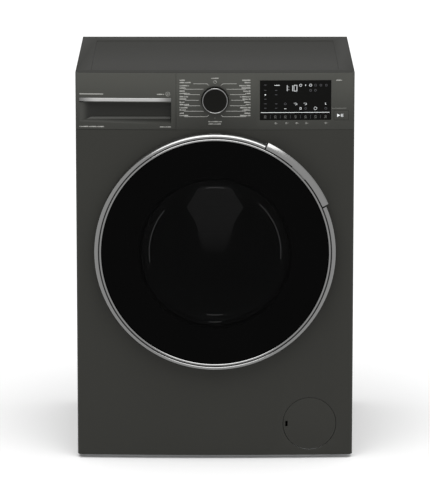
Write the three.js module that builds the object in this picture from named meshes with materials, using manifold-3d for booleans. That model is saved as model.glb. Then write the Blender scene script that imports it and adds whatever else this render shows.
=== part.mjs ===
// A front loading washing machine: an assembly of separate pieces, in millimetres.
// X points right, +Z up and the front faces -Y. The origin is on the floor, at the middle of the whole
// machine's depth. Inside the group, y = 0 is the plane of the cabinet's two front corners.
import * as THREE from "three";
import { mergeVertices } from "three/addons/utils/BufferGeometryUtils.js";
import Module from "manifold-3d";

const wasm = await Module();
wasm.setup();

// ---------------------------------------------------------------- driving dimensions
const WIDTH = 598;
const HEIGHT = 850;
const DEPTH = 512; // front corners to the back of the worktop
const BOW = 8.5; // how far the middle of the front stands ahead of its corners
const CORNER_R = 11; // upright front corners
const SHEET = 1; // steel sheet of the cabinet
const SKIN = 3; // plastic wall of the control panel, drawer front and worktop
const GAP = 0.35; // between pieces that touch
const SEAM = 0.4; // visible joint line between outer pieces

const FOOT_H = 8; // floor to the underside of the cabinet
const FOOT_R = 19;
const FOOT_STUD_R = 5;
const FOOT_STUD_H = 34;
const FOOT_INSET = 42;
const TRAY_SHEET = 1.5;
const TRAY_RIM = 26;

const PANEL_H = 123; // control panel, drawer front included
const WORKTOP_H = 24;
const FIELD_DROP = 1.6; // the worktop's middle field lies below its rim
const FIELD_SIDE = 33;
const FIELD_BACK = 60;
const FIELD_FRONT = 38;
const FRONT_RETURN = 14; // how far the front sheet wraps round to the sides
const PANEL_RETURN = 30;
const SIDE_FLANGE = 16;

const DRUM_Z = 464.5; // height of the door, tub and drum axis
const DRUM_R = 245;
const DRUM_FRONT = 92;
const DRUM_BACK = 345;
const DRUM_SHEET = 1.2;
const DRUM_MOUTH_R = 163;
const PADDLES = 3;
const PADDLE_H = 48;
const PADDLE_W = 46;
const TUB_R = 268;
const TUB_WALL = 3;
const TUB_FRONT = 76;
const TUB_SPLIT = 205;
const TUB_BACK = 369;
const TUB_FLANGE = 6;
const TUB_MOUTH_R = 168;
const TUB_NECK_FRONT = 42;
const TRAVEL = 10; // tub up and down on its springs
const HUB_R = 42;
const HUB_BACK = 426;
const SHAFT_R = 14;
const BEARING_R = 30;
const BEARING_W = 16;

const DRUM_PULLEY_R = 130;
const MOTOR_PULLEY_R = 10;
const BELT_W = 12;
const BELT_T = 3;
const BELT_CLEAR = 1; // room for the pulleys to turn inside the belt
const BELT_MID = 444; // y of the belt's middle
const MOTOR_X = 20;
const MOTOR_Z = 112;
const MOTOR_R = 60;
const MOTOR_FRONT = 275;
const MOTOR_BACK = 418;

const DOOR_R = 259.5; // outer radius of the door ring
const DOOR_PROUD = 46; // door face ahead of the front corners
const DOOR_BACK = 12; // back of the door ahead of the front corners
const RING_BAND = 15.5; // radial width of the ring
const LENS_T = 4; // dark outer glass
const LENS_DROP = 1.6; // ring edge stands ahead of the glass
const BOWL_RIM_R = 150;
const BOWL_END_R = 121;
const BOWL_DEPTH = 100;
const BOWL_T = 5;
const OPENING_R = 172; // hole in the front sheet
const SEAT_R = 236; // flat pressed seat behind the door
const HINGE_X = -249; // hinge axis, hidden inside the ring
const HINGE_Y = -27;
const HINGE_PIN_R = 3.5;
const HINGE_CLEAR = 0.35;
const HINGE_H = 26; // half height of the hinge
const HANDLE_FROM = 25.5; // degrees clockwise from the top
const HANDLE_TO = 66.2;
const HANDLE_PROUD = 6;
const HANDLE_PIVOT_R = 232;
const HANDLE_PIVOT_Y = -36;
const HOOK_R = 205;
const HOOK_T = 9;

const DRAWER_TO = -83.4; // the seam between the drawer front and the panel
const DRAWER_TRAVEL = 230;
const GRIP_X0 = -290.5;
const GRIP_X1 = -93.8;
const GRIP_LIP = 9.4; // height of the bright strip above the hollow
const GRIP_DEEP = 19;
const TRAY_X0 = -276;
const TRAY_X1 = -104;
const TRAY_BACK = 262;
const TRAY_WALL = 2.2;
const HOUSING_BACK = 285;
const HOUSING_CLEAR = 4;

const DIAL_R = 27.3;
const COLLAR_BAND = 2.7; // radial width of the dark collar round the dial
const DIAL_PROUD = 14;
const START_TRAVEL = 1.5;
const FILTER_X = 205.4;
const FILTER_Z = 78.2;
const FILTER_R = 57.5;
const FILTER_CAP_R = 33;
const REAR_COVER_R = 165;
const REAR_COVER_PROUD = 14;
const SPRING_X = 215;
const SPRING_Y = 313;
const SPRING_R = 12;
const SPRING_WIRE = 2.2;
const SPRING_TURNS = 7;
const DAMPER_X = 185;
const DAMPER_Y = 225;
const DAMPER_R = 17;
const DAMPER_TOP = 150;
const ROD_LOW = 70; // lower end of a damper's rod
const DRAWER_BODY = 16; // back of the drawer front's block
const BULKHEAD_Y = 18; // wall behind the drawer front
const GRIP_H = 45.8;
const GRIP_DOWN = 109.5; // top of the machine to the foot of the grip
const TRAY_H = 65;
const TRAY_DOWN = 100;
const DIAL_DOWN = 58.2;
const DISPLAY_X0 = 96.2;
const DISPLAY_X1 = 248.4;
const DISPLAY_H = 85.7;
const DISPLAY_DOWN = 101.9;
const DISPLAY_T = 1.6;
const START_X0 = 254.7;
const START_X1 = 285.9;
const START_H = 20.2;
const START_DOWN = 102.5;
const INLET_X = 225;
const INLET_R = 14;
const INLET_DOWN = 70;
const GLAND_X = -235;
const GLAND_R = 9;
const GLAND_DOWN = 80;
const FILL_X = -150; // pipe from the dispenser down to the tub
const FILL_Y = 255;
const PUMP_FRONT = 16;
const PUMP_NECK = 96;
const PUMP_BACK = 150;
const SUMP_X = 70;
const SUMP_Y = 140;
const SUMP_R = 18;
const PIPE = 11;
const HEATER_R = 4.5;
const HEATER_X = 30;
const LID_T = 2.4; // filter cover
const LIP_BAND = 5; // radial width of the ring's inner band where the handle sits
const HANDLE_INNER = 7.2; // grip's inner edge outside the glass, clear of that band when pulled
const HOOK_PIVOT_Y = -22;

// ---------------------------------------------------------------- sizes that follow
const HALF_W = WIDTH / 2;
const FAR = 2 * DEPTH; // reach of a cutting tool, beyond the machine
const PANEL_Z0 = HEIGHT - PANEL_H;
const PANEL_Z1 = HEIGHT - 0.7;
const WORKTOP_Z0 = HEIGHT - WORKTOP_H;
const SIDE_TOP = WORKTOP_Z0 - GAP;
const REAR_Y = DEPTH - SHEET;
const HANDLE_MID = (HANDLE_FROM + HANDLE_TO) / 2;
const CENTRE_Y = (DEPTH + REAR_COVER_PROUD - DOOR_PROUD) / 2; // moved to the origin at the end
const FACE_Y = -DOOR_PROUD;
const GRIP_Z0 = HEIGHT - GRIP_DOWN;
const GRIP_Z1 = GRIP_Z0 + GRIP_H;
const TRAY_Z0 = HEIGHT - TRAY_DOWN;
const TRAY_Z1 = TRAY_Z0 + TRAY_H;
const DIAL_Z = HEIGHT - DIAL_DOWN;
const COLLAR_R = DIAL_R + COLLAR_BAND;
const DISPLAY = { x0: DISPLAY_X0, x1: DISPLAY_X1, z0: HEIGHT - DISPLAY_DOWN, t: DISPLAY_T };
DISPLAY.z1 = DISPLAY.z0 + DISPLAY_H;
const START = { x0: START_X0, x1: START_X1, z0: HEIGHT - START_DOWN };
START.z1 = START.z0 + START_H;
const INLET = { x: INLET_X, z: HEIGHT - INLET_DOWN, r: INLET_R };
const GLAND = { x: GLAND_X, z: HEIGHT - GLAND_DOWN, r: GLAND_R };
const SPRING_TOP = SIDE_TOP - 25.65;
const SPRING_FOOT = DRUM_Z + 225.5;
const FILL_TOP = TRAY_Z0 - 17;
const FILL_FOOT = DRUM_Z + 241.5;
const SUMP = { x: SUMP_X, y: SUMP_Y, r: SUMP_R, z: DRUM_Z - TUB_R - 16.5 };
const HEATER_Z = DRUM_Z - 253.5;
const HINGE_LEAF_Y = -BOW - GAP;
const LENS_R = DOOR_R - RING_BAND;
const HOOK_PIVOT_R = HOOK_R + 9;
const FRONT_BEARING = TUB_BACK + 3;
const REAR_BEARING = HUB_BACK - BEARING_W - 2;

// ---------------------------------------------------------------- finishes
const finish = (color, roughness, metalness = 0) => ({ color, roughness, metalness });
const PAINT = finish(0x3b3b38, 0.42, 0.35);
const PANEL = finish(0x42423f, 0.45, 0.2);
const CHROME = finish(0xd8d8d8, 0.12, 1);
const STEEL = finish(0xb4b4b2, 0.32, 1);
const ZINC = finish(0x8e9090, 0.5, 0.9);
const BLACK = finish(0x101010, 0.25);
const GLASS = finish(0x9fb0b0, 0.05);
const RUBBER = finish(0x4a4c4d, 0.8);
const GREY = finish(0x8d9092, 0.6);
const WHITE = finish(0xdfe0de, 0.55);
const CONCRETE = finish(0xa5a29b, 0.95);
const BOARD = finish(0x2b5a3a, 0.7);

// ---------------------------------------------------------------- solids
// A closed three.js geometry as a manifold solid with its faces outwards.
function solid(geometry) {
  const flat = geometry.index ? geometry.toNonIndexed() : geometry;
  const bare = new THREE.BufferGeometry().setAttribute("position", flat.getAttribute("position"));
  const merged = mergeVertices(bare, 1e-4);
  const index = merged.index.array;
  const kept = [];
  for (let i = 0; i < index.length; i += 3) {
    const [a, b, c] = [index[i], index[i + 1], index[i + 2]];
    if (a !== b && b !== c && c !== a) kept.push(a, b, c);
  }
  const build = (triangles) =>
    new wasm.Manifold(
      new wasm.Mesh({
        numProp: 3,
        vertProperties: new Float32Array(merged.attributes.position.array),
        triVerts: new Uint32Array(triangles),
      }),
    );
  const made = build(kept);
  if (made.volume() > 0) return made;
  const turned = [];
  for (let i = 0; i < kept.length; i += 3) turned.push(kept[i], kept[i + 2], kept[i + 1]);
  return build(turned);
}

const join = (...pieces) => pieces.reduce((all, next) => all.add(next));
const cut = (body, ...tools) => tools.reduce((left, tool) => left.subtract(tool), body);

function box(x0, x1, y0, y1, z0, z1) {
  const geometry = new THREE.BoxGeometry(x1 - x0, y1 - y0, z1 - z0);
  return solid(geometry.translate((x0 + x1) / 2, (y0 + y1) / 2, (z0 + z1) / 2));
}

const shapeOf = (points) => new THREE.Shape(points.map(([a, b]) => new THREE.Vector2(a, b)));
const flatDepth = (depth) => ({ depth, bevelEnabled: false, curveSegments: 10 });

// An outline in x and y, raised from z0 to z1.
function raised(points, z0, z1) {
  return solid(new THREE.ExtrudeGeometry(shapeOf(points), flatDepth(z1 - z0)).translate(0, 0, z0));
}

// An outline in x and z, with its depth from y0 to y1.
function deep(shape, y0, y1) {
  const outline = Array.isArray(shape) ? shapeOf(shape) : shape;
  const geometry = new THREE.ExtrudeGeometry(outline, flatDepth(y1 - y0));
  return solid(geometry.rotateX(Math.PI / 2).translate(0, y1, 0));
}

// An outline in y and z, stretched from x0 to x1.
function wide(points, x0, x1) {
  const geometry = new THREE.ExtrudeGeometry(shapeOf(points), flatDepth(x1 - x0));
  const turn = new THREE.Matrix4().makeBasis(
    new THREE.Vector3(0, 1, 0),
    new THREE.Vector3(0, 0, 1),
    new THREE.Vector3(1, 0, 0),
  );
  return solid(geometry.applyMatrix4(turn).translate(x0, 0, 0));
}

// A profile of [radius, y] points turned about the axis that runs front to back through x, z.
function turned(points, segments = 32, x = 0, z = DRUM_Z) {
  const profile = points.map(([r, y]) => new THREE.Vector2(r, y));
  const first = points[0];
  if (first[0] > 0) profile.push(new THREE.Vector2(first[0], first[1]));
  return solid(new THREE.LatheGeometry(profile, segments).translate(x, 0, z));
}

const bar = (r, y0, y1, x, z, segments = 16) =>
  turned([[0, y0], [r, y0], [r, y1], [0, y1]], segments, x, z);

const tube = (r0, r1, y0, y1, x, z, segments = 16) =>
  turned([[r0, y0], [r1, y0], [r1, y1], [r0, y1]], segments, x, z);

function post(r, z0, z1, x, y, segments = 14) {
  const geometry = new THREE.CylinderGeometry(r, r, z1 - z0, segments);
  return solid(geometry.rotateX(Math.PI / 2).translate(x, y, (z0 + z1) / 2));
}

function hose(points, r, steps, sides = 10) {
  const circle = new THREE.Shape().absarc(0, 0, r, 0, 2 * Math.PI);
  const path = new THREE.CatmullRomCurve3(points.map((p) => new THREE.Vector3(...p)));
  const options = { steps, extrudePath: path, bevelEnabled: false, curveSegments: sides };
  return solid(new THREE.ExtrudeGeometry(circle, options));
}

// A closed band of a given thickness along an open line of [radius, y] points.
function band(points, thickness) {
  const side = (sign) =>
    points.map(([r, y], i) => {
      const before = points[Math.max(i - 1, 0)];
      const after = points[Math.min(i + 1, points.length - 1)];
      const along = new THREE.Vector2(after[0] - before[0], after[1] - before[1]).normalize();
      const half = (sign * thickness) / 2;
      return [r - along.y * half, y + along.x * half];
    });
  return [...side(1), ...side(-1).reverse()];
}

const radians = (degrees) => (degrees * Math.PI) / 180;

// A wedge about the door axis between two angles clockwise from the top, seen from the front.
function wedge(from, to, y0, y1, reach = FAR) {
  const points = [[0, DRUM_Z]];
  const steps = 4;
  for (let i = 0; i <= steps; i++) {
    const angle = radians(from + ((to - from) * i) / steps);
    points.push([reach * Math.sin(angle), DRUM_Z + reach * Math.cos(angle)]);
  }
  return deep(points, y0, y1);
}

// A manifold solid as three.js geometry.
function geometryOf(body) {
  const { numProp, vertProperties, triVerts } = body.getMesh();
  const geometry = new THREE.BufferGeometry();
  const corners = new Float32Array(triVerts.length * 3);
  triVerts.forEach((vertex, i) => {
    corners.set(vertProperties.subarray(vertex * numProp, vertex * numProp + 3), i * 3);
  });
  geometry.setAttribute("position", new THREE.BufferAttribute(corners, 3));
  return geometry;
}

// A solid built at the top of the door, turned to an angle clockwise from the top.
function around(body, degrees) {
  const turn = new THREE.Matrix4().makeTranslation(0, 0, DRUM_Z);
  turn.multiply(new THREE.Matrix4().makeRotationY(radians(degrees)));
  turn.multiply(new THREE.Matrix4().makeTranslation(0, 0, -DRUM_Z));
  return solid(geometryOf(body).applyMatrix4(turn));
}

// ---------------------------------------------------------------- the curved front
const frontY = (x) => -BOW * (1 - (x / HALF_W) ** 2);

// The front curve seen from above, from the left side to the right, some way inside the outer face.
function frontLine(inset, back) {
  const half = HALF_W - inset;
  const r = Math.max(CORNER_R - inset, 1);
  const corner = half - r;
  const left = [[-half, back]];
  const steps = 4;
  const middle = frontY(corner) + inset + r;
  for (let i = 0; i <= steps; i++) {
    const angle = Math.PI + (i * Math.PI) / 2 / steps;
    left.push([-corner + r * Math.cos(angle), middle + r * Math.sin(angle)]);
  }
  const bowSteps = 14;
  const bow = [];
  for (let i = 1; i < bowSteps; i++) {
    const x = -corner + (2 * corner * i) / bowSteps;
    bow.push([x, frontY(x) + inset]);
  }
  const right = left.map(([x, y]) => [-x, y]).reverse();
  return [...left, ...bow, ...right];
}

// A wall that follows the front, between two depths inside the outer face.
function frontWall(z0, z1, outer, inner, back) {
  const outline = [...frontLine(outer, back), ...frontLine(inner, back).reverse()];
  return raised(outline, z0, z1);
}

// Everything from a given depth inside the front's outer face back to a plane.
const frontBlock = (z0, z1, inset, back) => raised(frontLine(inset, back), z0, z1);

// ---------------------------------------------------------------- cabinet
function makeFrontPanel() {
  const z1 = PANEL_Z0 - SEAM;
  const wall = frontWall(FOOT_H, z1, 0, SHEET, FRONT_RETURN);
  const seat = turned([
    [0, -BOW],
    [SEAT_R, -BOW],
    [SEAT_R, -1],
    [SEAT_R - SHEET, -1],
    [SEAT_R - SHEET, -BOW + SHEET],
    [0, -BOW + SHEET],
  ]);
  const lip = tube(OPENING_R, OPENING_R + SHEET, -BOW + SHEET / 2, 10, 0, DRUM_Z, 32);
  const hatch = bar(FILTER_R + SEAM * 2, -20, 20, FILTER_X, FILTER_Z, 28);
  const panel = cut(wall, bar(SEAT_R - SHEET / 2, -20, 20, 0, DRUM_Z, 32), hatch);
  const dressed = join(panel, seat, lip);
  return cut(dressed, bar(OPENING_R, -20, 20, 0, DRUM_Z, 32), hookSlot(-20, 0));
}

// The slot that the door's hook passes through.
function hookSlot(y0, y1) {
  const half = HOOK_T / 2 + 5;
  const slot = box(-half, half, y0, y1, DRUM_Z + HOOK_R - 14, DRUM_Z + HOOK_R + 13);
  return around(slot, HANDLE_MID);
}

function makeSidePanel(side) {
  const outer = HALF_W;
  const inner = HALF_W - SHEET;
  const y0 = FRONT_RETURN + GAP;
  const y1 = REAR_Y - GAP;
  const outline = [
    [outer, y0],
    [outer, DEPTH],
    [inner, DEPTH],
    [inner, y1],
    [inner - SIDE_FLANGE, y1],
    [inner - SIDE_FLANGE, y1 - SHEET],
    [inner, y1 - SHEET],
    [inner, y0 + SHEET],
    [inner - SIDE_FLANGE + 4, y0 + SHEET],
    [inner - SIDE_FLANGE + 4, y0],
  ];
  const wall = raised(outline.map(([x, y]) => [side * x, y]), FOOT_H, SIDE_TOP);
  const notch = [PANEL_Z0 - SEAM, HEIGHT];
  const corner = box(...span(side, 200, HALF_W + 1), 0, PANEL_RETURN + GAP, ...notch);
  const shelfZ = SPRING_TOP + GAP;
  const reach = [SPRING_X - SPRING_R - 4, HALF_W - SHEET / 2];
  const shelf = box(...span(side, ...reach), SPRING_Y - 20, SPRING_Y + 20, shelfZ, shelfZ + 3);
  const gusset = box(...span(side, ...reach), SPRING_Y - 20, SPRING_Y - 18, shelfZ, shelfZ + 22);
  return join(cut(wall, corner), shelf, gusset);
}

const span = (side, a, b) => (side > 0 ? [a, b] : [-b, -a]);

function makeBaseTray() {
  const half = HALF_W - SHEET - 0.8;
  const y0 = FRONT_RETURN + SHEET * 2 + 2;
  const y1 = REAR_Y - GAP - SHEET - 0.8;
  const z0 = FOOT_H + 2;
  const floor = box(-half, half, y0, y1, z0, z0 + TRAY_SHEET);
  const rim = cut(
    box(-half, half, y0, y1, z0, z0 + TRAY_RIM),
    box(-half + TRAY_SHEET, half - TRAY_SHEET, y0 + TRAY_SHEET, y1 - TRAY_SHEET, z0, HEIGHT),
  );
  const nuts = footPlaces().map(([x, y]) => post(FOOT_STUD_R + 6, z0, z0 + 12, x, y, 6));
  const holes = footPlaces().map(([x, y]) => post(FOOT_STUD_R + GAP, 0, z0 + 20, x, y));
  const seats = [-1, 1].map((side) => dampSeat(side * DAMPER_X, z0));
  return cut(join(floor, rim, ...nuts, ...seats), ...holes);
}

const dampSeat = (x, z0) => post(DAMPER_R + 6, z0, z0 + 6, x, DAMPER_Y, 16);

function footPlaces() {
  const x = HALF_W - FOOT_INSET;
  return [
    [-x, FOOT_INSET + 8],
    [x, FOOT_INSET + 8],
    [-x, DEPTH - FOOT_INSET],
    [x, DEPTH - FOOT_INSET],
  ];
}

function makeFoot([x, y]) {
  const pad = post(FOOT_R, 0, FOOT_H, x, y, 24);
  const waist = post(FOOT_R * 0.55, FOOT_H - 1, FOOT_H + 2 - GAP, x, y, 12);
  return join(pad, waist, post(FOOT_STUD_R, FOOT_H - 1, FOOT_STUD_H, x, y, 12));
}

function makeRearPanel() {
  const half = HALF_W - SHEET - GAP;
  const sheet = box(-half, half, REAR_Y, DEPTH, FOOT_H, SIDE_TOP);
  const service = bar(REAR_COVER_R - 12, 0, DEPTH + 5, 0, DRUM_Z, 32);
  const inlet = bar(INLET.r + 1, 0, DEPTH + 5, INLET.x, INLET.z);
  const gland = bar(GLAND.r + 0.5, 0, DEPTH + 5, GLAND.x, GLAND.z);
  return cut(sheet, service, inlet, gland);
}

// The dished cover over the pulley, screwed to the rear panel.
function makeRearServiceCover() {
  const r = REAR_COVER_R;
  const y0 = DEPTH + GAP;
  const y1 = DEPTH + REAR_COVER_PROUD;
  return turned([
    [0, y1 - SHEET],
    [r - 24, y1 - SHEET],
    [r - 14, y0],
    [r, y0],
    [r, y0 + SHEET],
    [r - 13, y0 + SHEET],
    [r - 23, y1],
    [0, y1],
  ]);
}

function makeTopPanel() {
  const inset = SKIN + SEAM;
  const joinY = PANEL_RETURN + SEAM;
  const front = frontBlock(WORKTOP_Z0, HEIGHT, inset, joinY + 1);
  const rest = box(-HALF_W, HALF_W, joinY, DEPTH, WORKTOP_Z0, HEIGHT);
  const under = HEIGHT - 4.5;
  const hollow = join(
    frontBlock(WORKTOP_Z0 - 1, under, inset + SKIN, joinY + 1),
    box(-HALF_W + SKIN, HALF_W - SKIN, joinY + SKIN, DEPTH - SKIN, WORKTOP_Z0 - 1, under),
    box(-HALF_W + inset + SKIN, HALF_W - inset - SKIN, joinY, DEPTH / 2, WORKTOP_Z0 - 1, under),
  );
  const side = HALF_W - FIELD_SIDE;
  const field = box(-side, side, FIELD_FRONT, DEPTH - FIELD_BACK, HEIGHT - FIELD_DROP, HEIGHT + 1);
  return cut(join(front, rest), hollow, field);
}

// ---------------------------------------------------------------- control panel
function makeControlPanel() {
  const x0 = DRAWER_TO + SEAM / 2;
  const skin = frontWall(PANEL_Z0, PANEL_Z1, 0, SKIN, PANEL_RETURN);
  const right = join(
    box(x0, HALF_W + 1, -20, PANEL_RETURN + 1, PANEL_Z0, PANEL_Z1),
    box(-HALF_W - 1, -HALF_W + SKIN, DRAWER_BODY + 1, PANEL_RETURN + 1, PANEL_Z0, PANEL_Z1),
  );
  const y0 = BULKHEAD_Y;
  const top = WORKTOP_Z0 - 1;
  const bulkhead = box(-HALF_W + SKIN / 2, x0 + 4, y0, y0 + SKIN, PANEL_Z0, top);
  const sideWall = box(x0, x0 + SKIN, frontY(0) + SKIN / 2, y0 + SKIN, PANEL_Z0, top);
  const ledge = cut(
    box(x0, HALF_W - SKIN / 2, -20, y0 + SKIN, PANEL_Z0, PANEL_Z0 + SKIN),
    cut(box(-WIDTH, WIDTH, -30, y0 + SKIN, 0, HEIGHT), frontBlock(0, HEIGHT, SKIN / 2, y0 + SKIN)),
  );
  const mouth = box(TRAY_X0 - 5, TRAY_X1 + 5, y0 - 5, y0 + 10, TRAY_Z0 - 5, TRAY_Z1 + 5);
  const collar = tube(DIAL_R + 0.9, COLLAR_R, -BOW - 3, -BOW + 1, 0, DIAL_Z, 28);
  const lens = DISPLAY;
  const recess = frontWall(lens.z0 - 0.3, lens.z1 + 0.3, -1, lens.t + 0.3, 60);
  const clip = box(lens.x0 - 0.3, lens.x1 + 0.3, -20, 20, PANEL_Z0, HEIGHT);
  const key = box(START.x0 - SEAM, START.x1 + SEAM, -20, 20, START.z0 - SEAM, START.z1 + SEAM);
  const body = join(skin.intersect(right), bulkhead, sideWall, ledge, collar);
  const shaft = bar(5, -20, 20, 0, DIAL_Z, 16);
  return cut(body, mouth, recess.intersect(clip), key, shaft);
}

function makeDisplayLens() {
  const lens = DISPLAY;
  const sheet = frontWall(lens.z0, lens.z1, 0, lens.t, 60);
  return sheet.intersect(box(lens.x0, lens.x1, -20, 20, lens.z0, lens.z1));
}

function makeControlBoard() {
  const y0 = 12;
  const board = box(DRAWER_TO + 20, 280, y0, y0 + 1.6, 742, 822);
  const relays = [-40, 10, 60].map((x) => box(x, x + 22, y0 + 1, y0 + 18, 760, 778));
  return join(board, ...relays, box(120, 170, y0 + 1, y0 + 12, 765, 800));
}

function makeStartButton() {
  const face = frontWall(START.z0, START.z1, 0, 7, 60);
  const key = face.intersect(box(START.x0, START.x1, -20, 20, START.z0, START.z1));
  const rim = frontWall(START.z0 - 2, START.z1 + 2, SKIN + 0.6, 6, 60);
  return join(key, rim.intersect(box(START.x0 - 2, START.x1 + 2, -20, 20, 0, HEIGHT)));
}

function makeDial() {
  const face = -BOW - DIAL_PROUD;
  return turned(
    [
      [0, face],
      [DIAL_R - 2, face],
      [DIAL_R, face + 1.5],
      [DIAL_R, -BOW - 0.6],
      [4.2, -BOW - 0.6],
      [4.2, 10],
      [0, 10],
    ],
    28,
    0,
    DIAL_Z,
  );
}

// ---------------------------------------------------------------- detergent drawer
function makeDrawerFront() {
  const x1 = DRAWER_TO - SEAM / 2;
  const z0 = PANEL_Z0 + SEAM / 2;
  const left = (a, b) => box(-HALF_W - 1, x1, -20, DRAWER_BODY, a, b);
  const skin = frontWall(z0, PANEL_Z1, 0, SKIN, DRAWER_BODY).intersect(left(z0, PANEL_Z1));
  const core = frontBlock(z0, WORKTOP_Z0 - 3, SKIN / 2, DRAWER_BODY);
  const block = core.intersect(left(z0, WORKTOP_Z0 - 3));
  const back = frontY(0) + GRIP_DEEP;
  const lip = GRIP_Z1 + GRIP_LIP;
  const hollow = wide(
    [
      [-30, GRIP_Z0],
      [frontY(HALF_W / 2), GRIP_Z0],
      [back, GRIP_Z0 + 12],
      [back, lip],
      [-1, lip],
      [-1, GRIP_Z1],
      [-30, GRIP_Z1],
    ],
    GRIP_X0,
    GRIP_X1,
  );
  return cut(join(skin, block), hollow);
}

function makeDrawerTray() {
  const outer = box(TRAY_X0, TRAY_X1, DRAWER_BODY + GAP, TRAY_BACK, TRAY_Z0, TRAY_Z1);
  return cut(outer, ...drawerRooms());
}

// The drawer's three compartments: main wash, prewash and softener.
function drawerRooms() {
  const w = TRAY_WALL;
  const y0 = DRAWER_BODY + GAP + w;
  const width = (TRAY_X1 - TRAY_X0 - 4 * w) / 3;
  return [0, 1, 2].map((i) => {
    const x0 = TRAY_X0 + w + i * (width + w);
    return box(x0, x0 + width, y0, TRAY_BACK - w, TRAY_Z0 + w, TRAY_Z1 + 1);
  });
}

function makeDispenserHousing() {
  const c = HOUSING_CLEAR;
  const w = TRAY_WALL;
  const y0 = BULKHEAD_Y + SKIN + GAP;
  const room = [TRAY_X0 - c, TRAY_X1 + c, y0 - 1, HOUSING_BACK - w, TRAY_Z0 - c, TRAY_Z1 + c];
  const shell = [room[0] - w, room[1] + w, y0, HOUSING_BACK, room[4] - w, room[5] + w];
  const spout = post(14, FILL_TOP, room[4], FILL_X, FILL_Y, 16);
  const bore = post(11, FILL_TOP - 1, room[4] + 1, FILL_X, FILL_Y, 16);
  const inlet = bar(9, HOUSING_BACK - 1, HOUSING_BACK + 18, TRAY_X1 - 20, TRAY_Z1 - 15, 16);
  return cut(join(box(...shell), spout, inlet), box(...room), bore);
}

// ---------------------------------------------------------------- water, drain and lock
function makeInletValve() {
  const { x, z, r } = INLET;
  const flange = bar(r + 6, REAR_Y - GAP - 4, REAR_Y - GAP, x, z);
  const thread = bar(r, REAR_Y - 5, DEPTH + REAR_COVER_PROUD - 1, x, z);
  const body = bar(11, REAR_Y - 50, REAR_Y - 3, x, z, 12);
  const coil = box(x - 12, x + 12, REAR_Y - 46, REAR_Y - 22, z, z + 34);
  const water = bar(r - 4, REAR_Y + 1, DEPTH + REAR_COVER_PROUD, x, z);
  return cut(join(flange, thread, body, coil), water);
}

function makeCordGland() {
  const { x, z, r } = GLAND;
  const stem = bar(r, REAR_Y - 12, DEPTH + 1, x, z, 20);
  const collar = turned(
    [
      [0, DEPTH + GAP],
      [r + 4, DEPTH + GAP],
      [r + 3, DEPTH + 5],
      [r - 1, DEPTH + 11],
      [0, DEPTH + 11],
    ],
    20,
    x,
    z,
  );
  return cut(join(stem, collar), bar(4.5, REAR_Y - 13, DEPTH + 12, x, z, 12));
}

function makeDrainPump() {
  const x = FILTER_X;
  const z = FILTER_Z;
  const bore = FILTER_CAP_R + 1;
  const barrel = bar(bore + 3, PUMP_FRONT, PUMP_NECK, x, z, 24);
  const motor = bar(27, PUMP_NECK - 1, PUMP_BACK, x, z, 24);
  const stand = box(x - 22, x + 22, 40, 90, FOOT_H + 2 + TRAY_SHEET + GAP, z - bore + 2);
  const inlet = wide([[60, z + 2], [92, z + 2], [92, z + 30], [60, z + 30]], x - 62, x);
  const outlet = post(11, z, z + 62, x + 10, 78, 16);
  const room = bar(bore, PUMP_FRONT - 1, PUMP_NECK - 5, x, z, 24);
  const suction = box(x - 63, x - 10, 64, 88, z + 6, z + 26);
  return cut(join(barrel, motor, stand, inlet, outlet), room, suction, post(8, z, z + 63, x + 10, 78, 16));
}

function makeDoorLock() {
  const z0 = DRUM_Z + HOOK_R - 17;
  const z1 = DRUM_Z + HOOK_R + 22;
  const body = box(-17, 17, -BOW + SHEET + GAP, 22, z0, z1);
  const throat = box(-HOOK_T / 2 - 3, HOOK_T / 2 + 3, -20, 18, z0 + 5, z1 - 8);
  return around(cut(body, throat), HANDLE_MID);
}

// ---------------------------------------------------------------- hinge

function makeHingePlate() {
  const leaf = box(-238, -196, HINGE_LEAF_Y - 2, HINGE_LEAF_Y, DRUM_Z - 44, DRUM_Z + 44);
  const eye = post(HINGE_PIN_R + 3, DRUM_Z - 11, DRUM_Z + 11, HINGE_X, HINGE_Y, 16);
  const arm = raised(
    [
      [HINGE_X - 3.5, HINGE_Y + 3],
      [HINGE_X + 4, HINGE_Y - 3],
      [-228, HINGE_LEAF_Y - 1],
      [-238, HINGE_LEAF_Y - 1],
    ],
    DRUM_Z - 11,
    DRUM_Z + 11,
  );
  const bore = post(HINGE_PIN_R + HINGE_CLEAR, DRUM_Z - 60, DRUM_Z + 60, HINGE_X, HINGE_Y, 16);
  return cut(join(leaf, eye, arm), bore);
}

function makeHingePin() {
  return post(HINGE_PIN_R, DRUM_Z - HINGE_H - 2, DRUM_Z + HINGE_H + 2, HINGE_X, HINGE_Y, 16);
}

// The door's side of the hinge: two ears on a plate that bolts inside the door.
function makeHingeArm() {
  const ears = [-1, 1].map((side) => {
    const z = [DRUM_Z + side * 12, DRUM_Z + side * HINGE_H].sort((a, b) => a - b);
    const eye = post(HINGE_PIN_R + 3, ...z, HINGE_X, HINGE_Y, 16);
    return join(eye, box(HINGE_X, -208, HINGE_Y - 4, HINGE_Y + 4, ...z));
  });
  const plate = box(-216, -208, HINGE_Y - 4, HINGE_Y + 4, DRUM_Z - HINGE_H, DRUM_Z + HINGE_H);
  const bore = post(HINGE_PIN_R + HINGE_CLEAR, DRUM_Z - 60, DRUM_Z + 60, HINGE_X, HINGE_Y, 16);
  return cut(join(...ears, plate), bore);
}

// Room for the hinge inside the door.
const hingeRoom = (x0, x1) =>
  box(x0, x1, HINGE_Y - 10.5, 0, DRUM_Z - HINGE_H - 3, DRUM_Z + HINGE_H + 3);

// ---------------------------------------------------------------- door

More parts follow.
